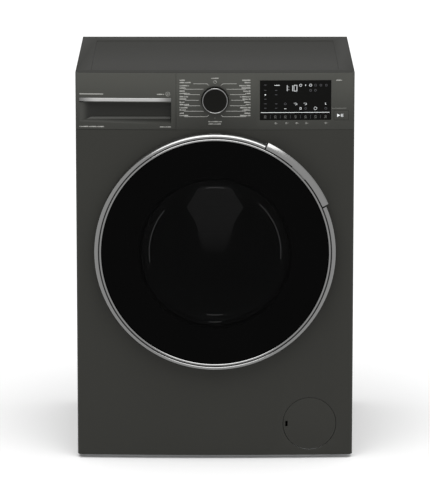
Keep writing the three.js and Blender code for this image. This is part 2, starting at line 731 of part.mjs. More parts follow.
function makeDoorRing() {
  const r = DOOR_R;
  const inner = LENS_R + GAP;
  const ring = turned(
    [
      [inner, FACE_Y + 1],
      [inner + 1.5, FACE_Y],
      [r - 4, FACE_Y],
      [r, FACE_Y + 6],
      [r, -DOOR_BACK],
      [r - 5, -DOOR_BACK],
      [r - 5, FACE_Y + 9],
      [inner, FACE_Y + 9],
    ],
    56,
  );
  const notch = wedge(HANDLE_FROM - 0.7, HANDLE_TO + 0.7, -60, FACE_Y + 12.6);
  const grip = wedge(HANDLE_FROM + 3, HANDLE_TO - 3, -60, -DOOR_BACK - 5);
  const keep = bar(LENS_R + LIP_BAND, -60, 0, 0, DRUM_Z, 56);
  const slot = box(-22, 22, HANDLE_PIVOT_Y - 6, -20, DRUM_Z + LENS_R - 20, DRUM_Z + LENS_R + 9);
  return cut(ring, cut(join(notch, grip), keep), around(slot, HANDLE_MID), hingeRoom(-300, -236));
}

function makeDoorLens() {
  const y0 = FACE_Y + LENS_DROP;
  return turned(
    [
      [0, y0],
      [LENS_R - 1, y0],
      [LENS_R - 0.3, y0 + 1],
      [LENS_R - 0.3, y0 + LENS_T],
      [0, y0 + LENS_T],
    ],
    48,
  );
}

// The inner frame: a dished plastic ring that carries the bowl, the hinge and the hook.
function makeDoorFrame() {
  const front = FACE_Y + LENS_DROP + LENS_T + GAP;
  const back = -DOOR_BACK;
  const r = LENS_R - 1;
  const frame = turned(
    [
      [r, front],
      [r, front + 3],
      [r - 3, front + 3],
      [r - 3, back - 3],
      [BOWL_RIM_R + 12, back - 3],
      [BOWL_RIM_R + 12, front],
      [BOWL_RIM_R + 9, front],
      [BOWL_RIM_R + 9, back],
      [r, back],
    ],
    36,
  );
  const lever = box(-22, 22, -60, -22, DRUM_Z + HANDLE_PIVOT_R - 6, DRUM_Z + 300);
  const hook = box(-HOOK_T / 2 - 4, HOOK_T / 2 + 4, -60, 0, DRUM_Z + HOOK_R - 14, DRUM_Z + HOOK_R + 18);
  const pillow = (side) => {
    const x = side > 0 ? [HOOK_T / 2 + 4.4, HOOK_T / 2 + 9] : [-HOOK_T / 2 - 9, -HOOK_T / 2 - 4.4];
    return box(...x, -30, -DOOR_BACK - 1, DRUM_Z + HOOK_R - 4, DRUM_Z + HOOK_R + 14);
  };
  const bearings = around(join(pillow(1), pillow(-1)), HANDLE_MID);
  const rooms = [around(lever, HANDLE_MID), around(hook, HANDLE_MID)];
  const bores = around(pivotRod(HOOK_PIVOT_R, HOOK_PIVOT_Y, 2.5, 15), HANDLE_MID);
  return cut(join(cut(frame, ...rooms), bearings), hingeRoom(-300, -204), bores);
}

// A short round pin lying along the rim's direction at the top of the door.
function pivotRod(r, y, radius, half) {
  const geometry = new THREE.CylinderGeometry(radius, radius, 2 * half, 12);
  return solid(geometry.rotateZ(Math.PI / 2).translate(0, y, DRUM_Z + r));
}

function makeDoorBowl() {
  const y0 = FACE_Y + LENS_DROP + LENS_T + GAP;
  const t = BOWL_T;
  const rim = BOWL_RIM_R;
  return turned(
    [
      [0, BOWL_DEPTH],
      [BOWL_END_R - 16, BOWL_DEPTH],
      [BOWL_END_R, BOWL_DEPTH - 6],
      [rim - 6, 40],
      [rim, y0 + 4],
      [rim + 8.5, y0 + 4],
      [rim + 8.5, y0],
      [rim - t, y0],
      [rim - 6 - t, 40],
      [BOWL_END_R - 5, BOWL_DEPTH - 10],
      [BOWL_END_R - 18, BOWL_DEPTH - t],
      [0, BOWL_DEPTH - t],
    ],
    36,
  );
}

function makeDoorHandle() {
  const r0 = LENS_R + HANDLE_INNER;
  const r1 = DOOR_R + HANDLE_PROUD;
  const grip = turned(
    [
      [r0, FACE_Y + 1],
      [r0 + 2, FACE_Y],
      [r1 - 5, FACE_Y + 0.6],
      [r1, FACE_Y + 5],
      [r1, FACE_Y + 12],
      [r0, FACE_Y + 12],
    ],
    72,
  ).intersect(wedge(HANDLE_FROM, HANDLE_TO, -60, 0));
  const z0 = DRUM_Z + HANDLE_PIVOT_R;
  const y = HANDLE_PIVOT_Y;
  const tongue = box(-19, 19, y - 1.6, y + 2, z0 - 2, DRUM_Z + r1 - 6);
  return join(grip, around(tongue, HANDLE_MID));
}

function makeLatchHook() {
  const z = DRUM_Z + HOOK_PIVOT_R;
  const x = HOOK_T / 2;
  const eye = pivotRod(HOOK_PIVOT_R, HOOK_PIVOT_Y, 6, x);
  const shank = box(-x, x, HOOK_PIVOT_Y, 12, z - 12, z - 5);
  const web = box(-x, x, HOOK_PIVOT_Y - 5, HOOK_PIVOT_Y + 5, z - 12, z);
  const nose = wide([[4, z - 17], [12, z - 11], [12, z - 6], [4, z - 6]], -x, x);
  const pin = pivotRod(HOOK_PIVOT_R, HOOK_PIVOT_Y, 2.1, x + 4);
  return around(join(eye, shank, web, nose, pin), HANDLE_MID);
}

// ---------------------------------------------------------------- seal, hoses, springs, dampers
function makeDoorSeal() {
  const r = OPENING_R;
  const line = [
    [BOWL_RIM_R + 5, -BOW + 2],
    [r - 2.4, -BOW + 2],
    [r - 2.4, 15],
    [r + 12, 19],
    [r + 12, 30],
    [TUB_MOUTH_R + 6, 34],
    [TUB_MOUTH_R + TUB_WALL + 2.2, 40],
    [TUB_MOUTH_R + TUB_WALL + 2.2, 56],
  ];
  return turned(band(line, 3));
}

function makeSumpHose() {
  const z = FILTER_Z + 16;
  const start = [SUMP.x, SUMP.y, SUMP.z - GAP];
  const end = [FILTER_X - 62 - GAP, 76, z];
  const middle = [
    [SUMP.x, SUMP.y - 2, SUMP.z - 40],
    [SUMP.x + 22, SUMP.y - 40, z + 10],
    [FILTER_X - 90, 77, z],
  ];
  return hose([start, ...middle, end], PIPE, 14, 5);
}

function makeFillHose() {
  return tubeUp(11, 14, FILL_FOOT + GAP, FILL_TOP - GAP, FILL_X, FILL_Y);
}

const tubeUp = (r0, r1, z0, z1, x, y) => cut(post(r1, z0, z1, x, y), post(r0, z0 - 1, z1 + 1, x, y));

// A coil spring whose first and last points lie on its axis.
function makeSpring(side) {
  const z0 = SPRING_FOOT + GAP + SPRING_WIRE;
  const z1 = SPRING_TOP - GAP - SPRING_WIRE;
  const points = [];
  const steps = SPRING_TURNS * 7;
  for (let i = 0; i <= steps; i++) {
    const angle = (i / steps) * SPRING_TURNS * 2 * Math.PI;
    const z = z0 + ((z1 - z0) * i) / steps;
    points.push([
      side * SPRING_X + SPRING_R * Math.cos(angle),
      SPRING_Y + SPRING_R * Math.sin(angle),
      z,
    ]);
  }
  return hose(points, SPRING_WIRE, steps, 2);
}

function makeDamperCylinder(side) {
  const x = side * DAMPER_X;
  const z0 = FOOT_H + 8 + GAP;
  const body = post(DAMPER_R, z0, DAMPER_TOP, x, DAMPER_Y, 20);
  return cut(body, post(DAMPER_R - 5, z0 + 20, DAMPER_TOP + 1, x, DAMPER_Y, 20));
}

function makeDamperRod(side) {
  const x = side * DAMPER_X;
  const top = lugFoot(DAMPER_X) - GAP;
  const rod = post(7, ROD_LOW, top, x, DAMPER_Y, 16);
  return join(rod, post(11, ROD_LOW, ROD_LOW + 10, x, DAMPER_Y, 20));
}

// Height of the tub's outside at a distance from its middle, below and above the axis.
const tubDrop = (x) => Math.sqrt(TUB_R ** 2 - x ** 2);
const lugFoot = (x) => DRUM_Z - tubDrop(x) - 18;

// ---------------------------------------------------------------- tub
function makeTubFront() {
  const m = TUB_MOUTH_R;
  const w = TUB_WALL;
  const shell = turned(
    [
      [m, TUB_NECK_FRONT],
      [m + w, TUB_NECK_FRONT],
      [m + w, TUB_FRONT],
      [TUB_R, TUB_FRONT],
      [TUB_R, TUB_SPLIT - w],
      [TUB_R + TUB_FLANGE, TUB_SPLIT - w],
      [TUB_R + TUB_FLANGE, TUB_SPLIT],
      [TUB_R - w, TUB_SPLIT],
      [TUB_R - w, TUB_FRONT + w],
      [m, TUB_FRONT + w],
    ],
    32,
  );
  const spigot = post(SUMP.r, SUMP.z, SUMP.z + 40, SUMP.x, SUMP.y);
  const inside = bar(TUB_R - w, TUB_FRONT + w, TUB_SPLIT, 0, DRUM_Z, 36);
  const drain = post(SUMP.r - 4, SUMP.z - 1, SUMP.z + 60, SUMP.x, SUMP.y);
  return cut(join(shell, cut(spigot, inside)), drain);
}

function makeTubRear() {
  const w = TUB_WALL;
  const y0 = TUB_SPLIT + GAP;
  const outer = turned(
    [
      [0, y0],
      [TUB_R + TUB_FLANGE, y0],
      [TUB_R + TUB_FLANGE, y0 + w],
      [TUB_R, y0 + w],
      [TUB_R, TUB_BACK],
      [0, TUB_BACK],
    ],
    36,
  );
  const hub = bar(HUB_R, TUB_BACK - 5, HUB_BACK, 0, DRUM_Z, 24);
  const ribs = [0, 1, 2, 3, 4, 5, 6, 7].map((i) => {
    const rib = box(-3, 3, TUB_BACK - 1, TUB_BACK + 16, DRUM_Z + HUB_R - 5, DRUM_Z + TUB_R - 22);
    return around(rib, i * 45 + 22.5);
  });
  const ears = [-1, 1].flatMap((side) => [
    earBox(side * SPRING_X, SPRING_Y, DRUM_Z + tubDrop(SPRING_X) - 30, SPRING_FOOT),
    earBox(side * DAMPER_X, DAMPER_Y, lugFoot(DAMPER_X), DRUM_Z - tubDrop(DAMPER_X) + 22),
  ]);
  const bracket = box(
    MOTOR_X - 28,
    MOTOR_X + 28,
    300,
    310,
    MOTOR_Z + MOTOR_R + GAP,
    DRUM_Z - TUB_R + 12,
  );
  const inlet = post(14, DRUM_Z + 200, FILL_FOOT, FILL_X, FILL_Y);
  const solidTub = join(outer, hub, ...ribs, ...ears, bracket, inlet);
  const room = bar(TUB_R - w, y0 - 1, TUB_BACK - 6, 0, DRUM_Z, 36);
  const shaft = bar(SHAFT_R + 3, 0, FAR, 0, DRUM_Z, 16);
  const seats = [
    bar(BEARING_R + GAP, 0, FRONT_BEARING + BEARING_W + GAP, 0, DRUM_Z, 20),
    bar(BEARING_R + GAP, REAR_BEARING - GAP, FAR, 0, DRUM_Z, 20),
  ];
  const heaterHoles = [-1, 1].map((side) => bar(HEATER_R + 1, TUB_SPLIT, FAR, side * HEATER_X, HEATER_Z, 12));
  const water = post(10, DRUM_Z + 150, FILL_FOOT + 1, FILL_X, FILL_Y);
  return cut(solidTub, room, shaft, ...seats, ...heaterHoles, water);
}

const earBox = (x, y, z0, z1) => box(x - 9, x + 9, y - 10, y + 10, z0, z1);

const makeBearing = (y) => tube(SHAFT_R + GAP, BEARING_R, y, y + BEARING_W, 0, DRUM_Z, 20);

function makeFrontCounterweight() {
  const r0 = TUB_MOUTH_R + TUB_WALL + 20;
  const ring = tube(r0, TUB_R - 14, TUB_FRONT - GAP - 44, TUB_FRONT - GAP, 0, DRUM_Z, 36);
  const low = box(-FAR, FAR, 0, TUB_SPLIT, 0, DRUM_Z - 205);
  return cut(ring, low);
}

function makeTopCounterweight() {
  const block = box(-55, 165, TUB_SPLIT - 90, TUB_SPLIT - TUB_WALL - 4, DRUM_Z + 200, DRUM_Z + 318);
  return cut(block, bar(TUB_R + 1.4, 0, FAR, 0, DRUM_Z, 36));
}

function makeHeater() {
  const x = HEATER_X;
  const y0 = 225;
  const y1 = TUB_BACK + 4;
  const path = [[-x, y1, HEATER_Z]];
  path.push([-x, (y0 + y1) / 2, HEATER_Z], [-x, y0 + x, HEATER_Z]);
  for (let i = 1; i < 6; i++) {
    const angle = Math.PI + (i * Math.PI) / 6;
    path.push([x * Math.cos(angle), y0 + x + x * Math.sin(angle), HEATER_Z]);
  }
  path.push([x, y0 + x, HEATER_Z], [x, (y0 + y1) / 2, HEATER_Z], [x, y1, HEATER_Z]);
  const rod = hose(path, HEATER_R, 22, 3);
  const flange = box(-x - 12, x + 12, TUB_BACK + GAP, TUB_BACK + 6, HEATER_Z - 12, HEATER_Z + 12);
  return join(rod, flange);
}

// ---------------------------------------------------------------- motor and belt
function makeMotor() {
  const body = bar(MOTOR_R, MOTOR_FRONT, MOTOR_BACK - 12, MOTOR_X, MOTOR_Z, 28);
  const nose = bar(28, MOTOR_BACK - 13, MOTOR_BACK, MOTOR_X, MOTOR_Z, 24);
  const collar = bar(34, MOTOR_FRONT - 10, MOTOR_FRONT + 1, MOTOR_X, MOTOR_Z, 24);
  return cut(join(body, nose, collar), bar(7, MOTOR_BACK - 16, MOTOR_BACK + 1, MOTOR_X, MOTOR_Z, 16));
}

function makeMotorPulley() {
  const half = BELT_W / 2;
  const shaft = bar(6, MOTOR_BACK - 14, BELT_MID + half + 2, MOTOR_X, MOTOR_Z, 16);
  const wheel = bar(MOTOR_PULLEY_R, BELT_MID - half - 1, BELT_MID + half + 1, MOTOR_X, MOTOR_Z, 24);
  return join(shaft, wheel);
}

// The belt's line round both pulleys, some way outside their rims.
function beltLine(outside) {
  const dx = MOTOR_X;
  const dz = MOTOR_Z - DRUM_Z;
  const distance = Math.hypot(dx, dz);
  const towards = Math.atan2(dz, dx);
  const lean = Math.acos((DRUM_PULLEY_R - MOTOR_PULLEY_R) / distance);
  const arc = (cx, cz, r, from, to, steps) =>
    Array.from({ length: steps + 1 }, (_, i) => {
      const angle = from + ((to - from) * i) / steps;
      return [cx + r * Math.cos(angle), cz + r * Math.sin(angle)];
    });
  const big = DRUM_PULLEY_R + outside;
  const small = MOTOR_PULLEY_R + outside;
  return [
    ...arc(0, DRUM_Z, big, towards + lean, towards + 2 * Math.PI - lean, 30),
    ...arc(MOTOR_X, MOTOR_Z, small, towards - lean, towards + lean, 8),
  ];
}

function makeDriveBelt() {
  const y0 = BELT_MID - BELT_W / 2;
  const outer = deep(beltLine(BELT_CLEAR + BELT_T), y0, y0 + BELT_W);
  return cut(outer, deep(beltLine(BELT_CLEAR), y0 - 1, y0 + BELT_W + 1));
}

// ---------------------------------------------------------------- drum
function makeDrumShell() {
  const r = DRUM_R;
  const t = DRUM_SHEET;
  return turned([
    [0, DRUM_BACK - t],
    [r - t, DRUM_BACK - t],
    [r - t, DRUM_FRONT + t],
    [DRUM_MOUTH_R + 4, DRUM_FRONT + t],
    [DRUM_MOUTH_R, DRUM_FRONT + 6],
    [DRUM_MOUTH_R + 2, DRUM_FRONT],
    [r, DRUM_FRONT],
    [r, DRUM_BACK],
    [0, DRUM_BACK],
  ], 36);
}

function makePaddle(number) {
  const r = DRUM_R - DRUM_SHEET - 0.6;
  const w = PADDLE_W / 2;
  const foot = Math.sqrt(r ** 2 - w ** 2) - 0.6;
  const tip = r - PADDLE_H;
  const outline = [
    [-w, DRUM_Z + foot],
    [-w * 0.55, DRUM_Z + tip + 6],
    [-w * 0.3, DRUM_Z + tip],
    [w * 0.3, DRUM_Z + tip],
    [w * 0.55, DRUM_Z + tip + 6],
    [w, DRUM_Z + foot],
  ];
  return around(deep(outline, DRUM_FRONT + 14, DRUM_BACK - DRUM_SHEET - GAP), number * (360 / PADDLES));
}

function makeDrumSpider() {
  const y0 = DRUM_BACK + GAP;
  const arms = [0, 1, 2].map((i) => {
    const arm = box(-17, 17, y0, y0 + 11, DRUM_Z + 10, DRUM_Z + DRUM_R - 12);
    return around(arm, 60 + i * 120);
  });
  const hub = bar(36, y0, y0 + 15, 0, DRUM_Z, 24);
  return cut(join(...arms, hub), bar(SHAFT_R + GAP, y0 + 4, FAR, 0, DRUM_Z, 24));
}

function makeDrumShaft() {
  return bar(SHAFT_R, DRUM_BACK + 5, BELT_MID + BELT_W / 2 + 8, 0, DRUM_Z, 24);
}

function makeDrumPulley() {
  const y0 = BELT_MID - BELT_W / 2 - 1;
  const y1 = BELT_MID + BELT_W / 2 + 1;
  const r = DRUM_PULLEY_R;
  const inner = SHAFT_R + GAP;
  const wheel = turned(
    [
      [inner, y0],
      [28, y0],
      [28, BELT_MID - 2],
      [r - 9, BELT_MID - 2],
      [r - 6, y0],
      [r, y0],
      [r, y1],
      [r - 6, y1],
      [r - 9, BELT_MID + 2],
      [28, BELT_MID + 2],
      [28, y1],
      [inner, y1],
    ],
    24,
  );
  const windows = [0, 1, 2, 3, 4, 5].map((i) =>
    around(bar(24, TUB_BACK, FAR, 0, DRUM_Z + 74, 6), i * 60),
  );
  return cut(wheel, ...windows);
}

// ---------------------------------------------------------------- filter

function makeFilterCover() {
  const face = frontWall(FILTER_Z - FILTER_R - 1, FILTER_Z + FILTER_R + 1, 0, LID_T, 40);
  const round = bar(FILTER_R, -20, 20, FILTER_X, FILTER_Z, 28);
  const pull = box(FILTER_X - FILTER_R + 5, FILTER_X - FILTER_R + 10, -20, 20, FILTER_Z - 6, FILTER_Z + 6);
  const plate = face.intersect(round);
  return cut(plate, pull);
}

function makePumpFilter() {
  const x = FILTER_X;
  const z = FILTER_Z;
  const cap = bar(FILTER_CAP_R - 0.5, PUMP_FRONT - 4, PUMP_FRONT + 14, x, z, 24);
  const knob = box(x - 24, x + 24, PUMP_FRONT - 12, PUMP_FRONT - 3, z - 4, z + 4);
  const cage = tube(17, 20, PUMP_FRONT + 13, PUMP_FRONT + 62, x, z, 20);
  const slots = [0, 1].map((i) =>
    box(x - 40, x + 40, PUMP_FRONT + 22 + 18 * i, PUMP_FRONT + 32 + 18 * i, z - 5, z + 5),
  );
  return join(cap, knob, cut(cage, ...slots));
}

// ---------------------------------------------------------------- assembly
function add(group, name, body, look) {
  const material = new THREE.MeshStandardMaterial({
    color: look.color,
    roughness: look.roughness,
    metalness: look.metalness,
  });
  const mesh = new THREE.Mesh(geometryOf(body), material);
  mesh.name = name;
  group.add(mesh);
}

const cabinet = new THREE.Group();
add(cabinet, "base_tray", makeBaseTray(), ZINC);
add(cabinet, "left_side_panel", makeSidePanel(-1), PAINT);
add(cabinet, "right_side_panel", makeSidePanel(1), PAINT);
add(cabinet, "rear_panel", makeRearPanel(), ZINC);
add(cabinet, "rear_service_cover", makeRearServiceCover(), ZINC);
add(cabinet, "front_panel", makeFrontPanel(), PAINT);
add(cabinet, "top_panel", makeTopPanel(), PAINT);
add(cabinet, "control_panel", makeControlPanel(), PANEL);
add(cabinet, "display_lens", makeDisplayLens(), BLACK);
add(cabinet, "control_board", makeControlBoard(), BOARD);
add(cabinet, "dispenser_housing", makeDispenserHousing(), GREY);
add(cabinet, "inlet_valve", makeInletValve(), WHITE);
add(cabinet, "drain_pump", makeDrainPump(), GREY);
add(cabinet, "door_lock", makeDoorLock(), WHITE);
add(cabinet, "hinge_plate", makeHingePlate(), STEEL);
add(cabinet, "hinge_pin", makeHingePin(), STEEL);
add(cabinet, "cord_gland", makeCordGland(), BLACK);
add(cabinet, "damper_cylinder_left", makeDamperCylinder(-1), BLACK);
add(cabinet, "damper_cylinder_right", makeDamperCylinder(1), BLACK);
for (const [i, name] of ["front_left", "front_right", "rear_left", "rear_right"].entries()) {
  add(cabinet, `foot_${name}`, makeFoot(footPlaces()[i]), BLACK);
}

const controls = new THREE.Group();
add(controls, "drawer_front", makeDrawerFront(), PANEL);
add(controls, "drawer_tray", makeDrawerTray(), WHITE);
add(controls, "dial", makeDial(), BLACK);
add(controls, "start_button", makeStartButton(), PANEL);
add(controls, "filter_cover", makeFilterCover(), PAINT);
add(controls, "pump_filter", makePumpFilter(), GREY);

const door = new THREE.Group();
add(door, "door_ring", makeDoorRing(), CHROME);
add(door, "door_lens", makeDoorLens(), BLACK);
add(door, "door_frame", makeDoorFrame(), BLACK);
add(door, "door_bowl", makeDoorBowl(), GLASS);
add(door, "hinge_arm", makeHingeArm(), STEEL);
add(door, "door_handle", makeDoorHandle(), CHROME);
add(door, "latch_hook", makeLatchHook(), STEEL);

const suspended = new THREE.Group();
add(suspended, "door_seal", makeDoorSeal(), RUBBER);
add(suspended, "sump_hose", makeSumpHose(), RUBBER);
add(suspended, "fill_hose", makeFillHose(), RUBBER);
for (const [side, name] of [[-1, "left"], [1, "right"]]) {
  add(suspended, `spring_${name}`, makeSpring(side), STEEL);
  add(suspended, `damper_rod_${name}`, makeDamperRod(side), GREY);
}
add(suspended, "tub_front", makeTubFront(), GREY);
add(suspended, "tub_rear", makeTubRear(), GREY);
add(suspended, "front_counterweight", makeFrontCounterweight(), CONCRETE);
add(suspended, "top_counterweight", makeTopCounterweight(), CONCRETE);
add(suspended, "heater", makeHeater(), STEEL);
add(suspended, "bearing_front", makeBearing(FRONT_BEARING), STEEL);
add(suspended, "bearing_rear", makeBearing(REAR_BEARING), STEEL);
add(suspended, "motor", makeMotor(), STEEL);
add(suspended, "drive_belt", makeDriveBelt(), BLACK);
add(suspended, "motor_pulley", makeMotorPulley(), STEEL);

const drum = new THREE.Group();
add(drum, "drum_shell", makeDrumShell(), STEEL);
for (let i = 0; i < PADDLES; i++) {
  add(drum, `paddle_${i + 1}`, makePaddle(i), GREY);
}
add(drum, "drum_spider", makeDrumSpider(), STEEL);
add(drum, "drum_shaft", makeDrumShaft(), STEEL);
add(drum, "drum_pulley", makeDrumPulley(), STEEL);

const machine = new THREE.Group();
machine.add(cabinet, controls, door, suspended, drum);
machine.position.y = -CENTRE_Y;

export default machine;
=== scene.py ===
"""Looks of a front loading washing machine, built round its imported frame.

Every length is in metres, in the frame's own axes: X right, Z up, and the front faces -Y.
"""
import logging
import math
from dataclasses import dataclass, field
from enum import Enum
from typing import Iterable, Sequence

import bpy
from mathutils import Matrix, Vector


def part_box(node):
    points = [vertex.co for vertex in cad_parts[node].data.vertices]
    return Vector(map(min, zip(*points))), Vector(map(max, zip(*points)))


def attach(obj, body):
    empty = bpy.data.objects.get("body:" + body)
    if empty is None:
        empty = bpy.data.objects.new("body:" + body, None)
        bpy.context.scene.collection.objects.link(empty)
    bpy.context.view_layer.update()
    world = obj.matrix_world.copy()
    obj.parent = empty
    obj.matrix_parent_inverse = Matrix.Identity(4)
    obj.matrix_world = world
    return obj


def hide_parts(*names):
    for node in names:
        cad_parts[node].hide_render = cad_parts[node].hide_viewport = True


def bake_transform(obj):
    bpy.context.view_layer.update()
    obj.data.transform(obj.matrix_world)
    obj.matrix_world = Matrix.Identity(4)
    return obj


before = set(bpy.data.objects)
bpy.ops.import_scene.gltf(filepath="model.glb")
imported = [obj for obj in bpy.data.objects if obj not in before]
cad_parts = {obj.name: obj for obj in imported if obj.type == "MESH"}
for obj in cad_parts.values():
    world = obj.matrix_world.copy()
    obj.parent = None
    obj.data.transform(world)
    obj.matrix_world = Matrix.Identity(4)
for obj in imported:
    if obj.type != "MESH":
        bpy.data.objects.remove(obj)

LOG = logging.getLogger("washing_machine")
MM = 0.001
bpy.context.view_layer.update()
Point = tuple[float, float, float]
Profile = Sequence[tuple[float, float]]


# ------------------------------------------------------------------ places taken from the frame
def low(node: str) -> Vector:
    """Lowest corner of a node."""
    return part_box(node)[0]


def high(node: str) -> Vector:
    """Highest corner of a node."""
    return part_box(node)[1]


def middle(node: str) -> Vector:
    """Centre of a node's box."""
    return (low(node) + high(node)) / 2


HALF_W = high("front_panel").x
BOW = 8.5 * MM
CORNER_Y = low("front_panel").y + BOW
AXIS_Z = middle("door_ring").z
RING_R = (high("door_ring").z - low("door_ring").z) / 2
LENS_R = (high("door_lens").z - low("door_lens").z) / 2
FACE_Y = low("door_ring").y
DOOR_BACK = high("door_ring").y


def front_y(x: float) -> float:
    """Y of the bowed front at a distance from the middle.

    Args:
        x: distance from the middle, in metres.

    Returns:
        The y of the outer face there.
    """
    return CORNER_Y - BOW * (1.0 - (x / HALF_W) ** 2)


# ------------------------------------------------------------------ shader maths
class Signal:
    """A shader socket that takes part in Python expressions."""

    def __init__(self, shader: "Shader", socket: bpy.types.NodeSocket) -> None:
        """Keeps the socket and the shader that owns it."""
        self.shader = shader
        self.socket = socket

    def _math(self, operation: str, *values: "Signal | float") -> "Signal":
        """Adds a Math node over this signal and more values.

        Args:
            operation: the Math node's operation.
            values: every operand, this signal among them, in order.

        Returns:
            The node's result.
        """
        return self.shader.node("ShaderNodeMath", {"operation": operation}, dict(enumerate(values)))

    def __add__(self, other: "Signal | float") -> "Signal":
        """Sum."""
        return self._math("ADD", self, other)

    __radd__ = __add__

    def __sub__(self, other: "Signal | float") -> "Signal":
        """Difference."""
        return self._math("SUBTRACT", self, other)

    def __rsub__(self, other: "Signal | float") -> "Signal":
        """Difference from a number."""
        return self._math("SUBTRACT", other, self)

    def __mul__(self, other: "Signal | float") -> "Signal":
        """Product."""
        return self._math("MULTIPLY", self, other)

    __rmul__ = __mul__

    def __gt__(self, other: "Signal | float") -> "Signal":
        """One where this signal is the greater, else zero."""
        return self._math("GREATER_THAN", self, other)

    def __lt__(self, other: "Signal | float") -> "Signal":
        """One where this signal is the smaller, else zero."""
        return self._math("LESS_THAN", self, other)

    def power(self, other: "Signal | float") -> "Signal":
        """This signal raised to a power."""
        return self._math("POWER", self, other)

    def floor(self) -> "Signal":
        """The whole number below."""
        return self._math("FLOOR", self)

    def angle_to(self, other: "Signal") -> "Signal":
        """Angle of the direction (other, self), in radians."""
        return self._math("ARCTAN2", self, other)

    def modulo(self, other: float) -> "Signal":
        """Remainder that stays positive."""
        return self._math("FLOORED_MODULO", self, other)

    def absolute(self) -> "Signal":
        """Size without sign."""
        return self._math("ABSOLUTE", self)

    def ramp(self, start: float, end: float) -> "Signal":
        """Smooth step from zero at start to one at end.

        Args:
            start: where the step begins.
            end: where it ends.

        Returns:
            The step, from zero to one.
        """
        settings = {"interpolation_type": "SMOOTHSTEP"}
        return self.shader.node("ShaderNodeMapRange", settings, {0: self, 1: start, 2: end})


class Shader:
    """One material's node tree, with a single way to add a node."""

    def __init__(self, name: str) -> None:
        """Makes an empty material with a Principled shader.

        Args:
            name: the material's name.
        """
        self.material = bpy.data.materials.new(name)
        self.material.use_nodes = True
        self.tree = self.material.node_tree
        self.principled = self.tree.nodes["Principled BSDF"]

    def node(self, kind: str, settings: dict | None = None, inputs: dict | None = None,
             output: int | str = 0) -> Signal:
        """Adds a node.

        Args:
            kind: the node's type.
            settings: attributes, set before the inputs; "stops" fills a colour ramp.
            inputs: values, colours or signals by socket name or number.
            output: which output to return.

        Returns:
            The chosen output as a signal.
        """
        node = self.tree.nodes.new(kind)
        for key, value in (settings or {}).items():
            if key == "stops":
                self._fill_ramp(node, value)
            else:
                setattr(node, key, value)
        for key, value in (inputs or {}).items():
            self._feed(node.inputs[key], value)
        return Signal(self, node.outputs[output])

    def _feed(self, socket: bpy.types.NodeSocket, value: object) -> None:
        """Links a signal to a socket, or sets the socket's own value.

        Args:
            socket: the input socket.
            value: a signal, a colour or a plain value.
        """
        if isinstance(value, Signal):
            self.tree.links.new(value.socket, socket)
        elif isinstance(value, (tuple, list)) and len(value) == 3 and socket.type == "RGBA":
            socket.default_value = (*value, 1.0)
        else:
            socket.default_value = value

    @staticmethod
    def _fill_ramp(node: bpy.types.Node, stops: Sequence[tuple[float, Sequence[float]]]) -> None:
        """Sets a colour ramp's stops from (place, colour) pairs.

        Args:
            node: the colour ramp.
            stops: (place, colour) pairs in order.
        """
        elements = node.color_ramp.elements
        while len(elements) < len(stops):
            elements.new(0.5)
        for element, (place, colour) in zip(elements, stops):
            element.position = place
            element.color = (*colour, 1.0)

    def set(self, **values: object) -> None:
        """Feeds the Principled shader's sockets; an underscore stands for a space.

        Args:
            values: values or signals by socket name.
        """
        for key, value in values.items():
            self._feed(self.principled.inputs[key.replace("_", " ")], value)

    def place(self, scale: Point = (1.0, 1.0, 1.0)) -> Signal:
        """Object coordinates, scaled along each axis.

        Args:
            scale: scale along each axis.

        Returns:
            The scaled coordinates.
        """
        raw = self.node("ShaderNodeTexCoord", output="Object")
        return self.node("ShaderNodeMapping", {}, {"Vector": raw, "Scale": scale})

    def axis(self, letter: str) -> Signal:
        """One object coordinate, in metres.

        Args:
            letter: X, Y or Z.

        Returns:
            That coordinate.
        """
        raw = self.node("ShaderNodeTexCoord", output="Object")
        return self.node("ShaderNodeSeparateXYZ", {}, {0: raw}, output=letter)

    def noise(self, scale: float, detail: float = 3.0, stretch: Point = (1.0, 1.0, 1.0),
              roughness: float = 0.5) -> Signal:
        """Noise over the object, in features of about 1/scale metres.

        Args:
            scale: how fine the noise is.
            detail: how many finer layers it has.
            stretch: scale along each axis.
            roughness: weight of the finer layers.

        Returns:
            The noise, from zero to one.
        """
        inputs = {"Vector": self.place(stretch), "Scale": scale, "Detail": detail,
                  "Roughness": roughness}
        return self.node("ShaderNodeTexNoise", {}, inputs)

    def mix(self, factor: Signal | float, first: object, second: object) -> Signal:
        """Colour mix.

        Args:
            factor: zero gives the first colour, one the second.
            first: colour or signal.
            second: colour or signal.

        Returns:
            The mixed colour.
        """
        node = self.tree.nodes.new("ShaderNodeMix")
        node.data_type = "RGBA"
        self._feed(node.inputs[0], factor)
        self._feed(node.inputs[6], first)
        self._feed(node.inputs[7], second)
        return Signal(self, node.outputs[2])

    def bump(self, height: Signal, depth: float, strength: float = 1.0) -> None:
        """Feeds a bump of a given depth in metres to the normal.

        Args:
            height: the relief, from zero to one.
            depth: how deep it is, in metres.
            strength: how much of it shows.
        """
        inputs = {"Height": height, "Distance": depth, "Strength": strength}
        self.set(Normal=self.node("ShaderNodeBump", {}, inputs))


# ------------------------------------------------------------------ finishes
Colour = tuple[float, float, float]


def shade(colour: Colour, factor: float) -> Colour:
    """The colour made lighter or darker.

    Args:
        colour: the colour.
        factor: below one is darker, above one lighter.

    Returns:
        The new colour.
    """
    return tuple(min(1.0, c * factor) for c in colour)


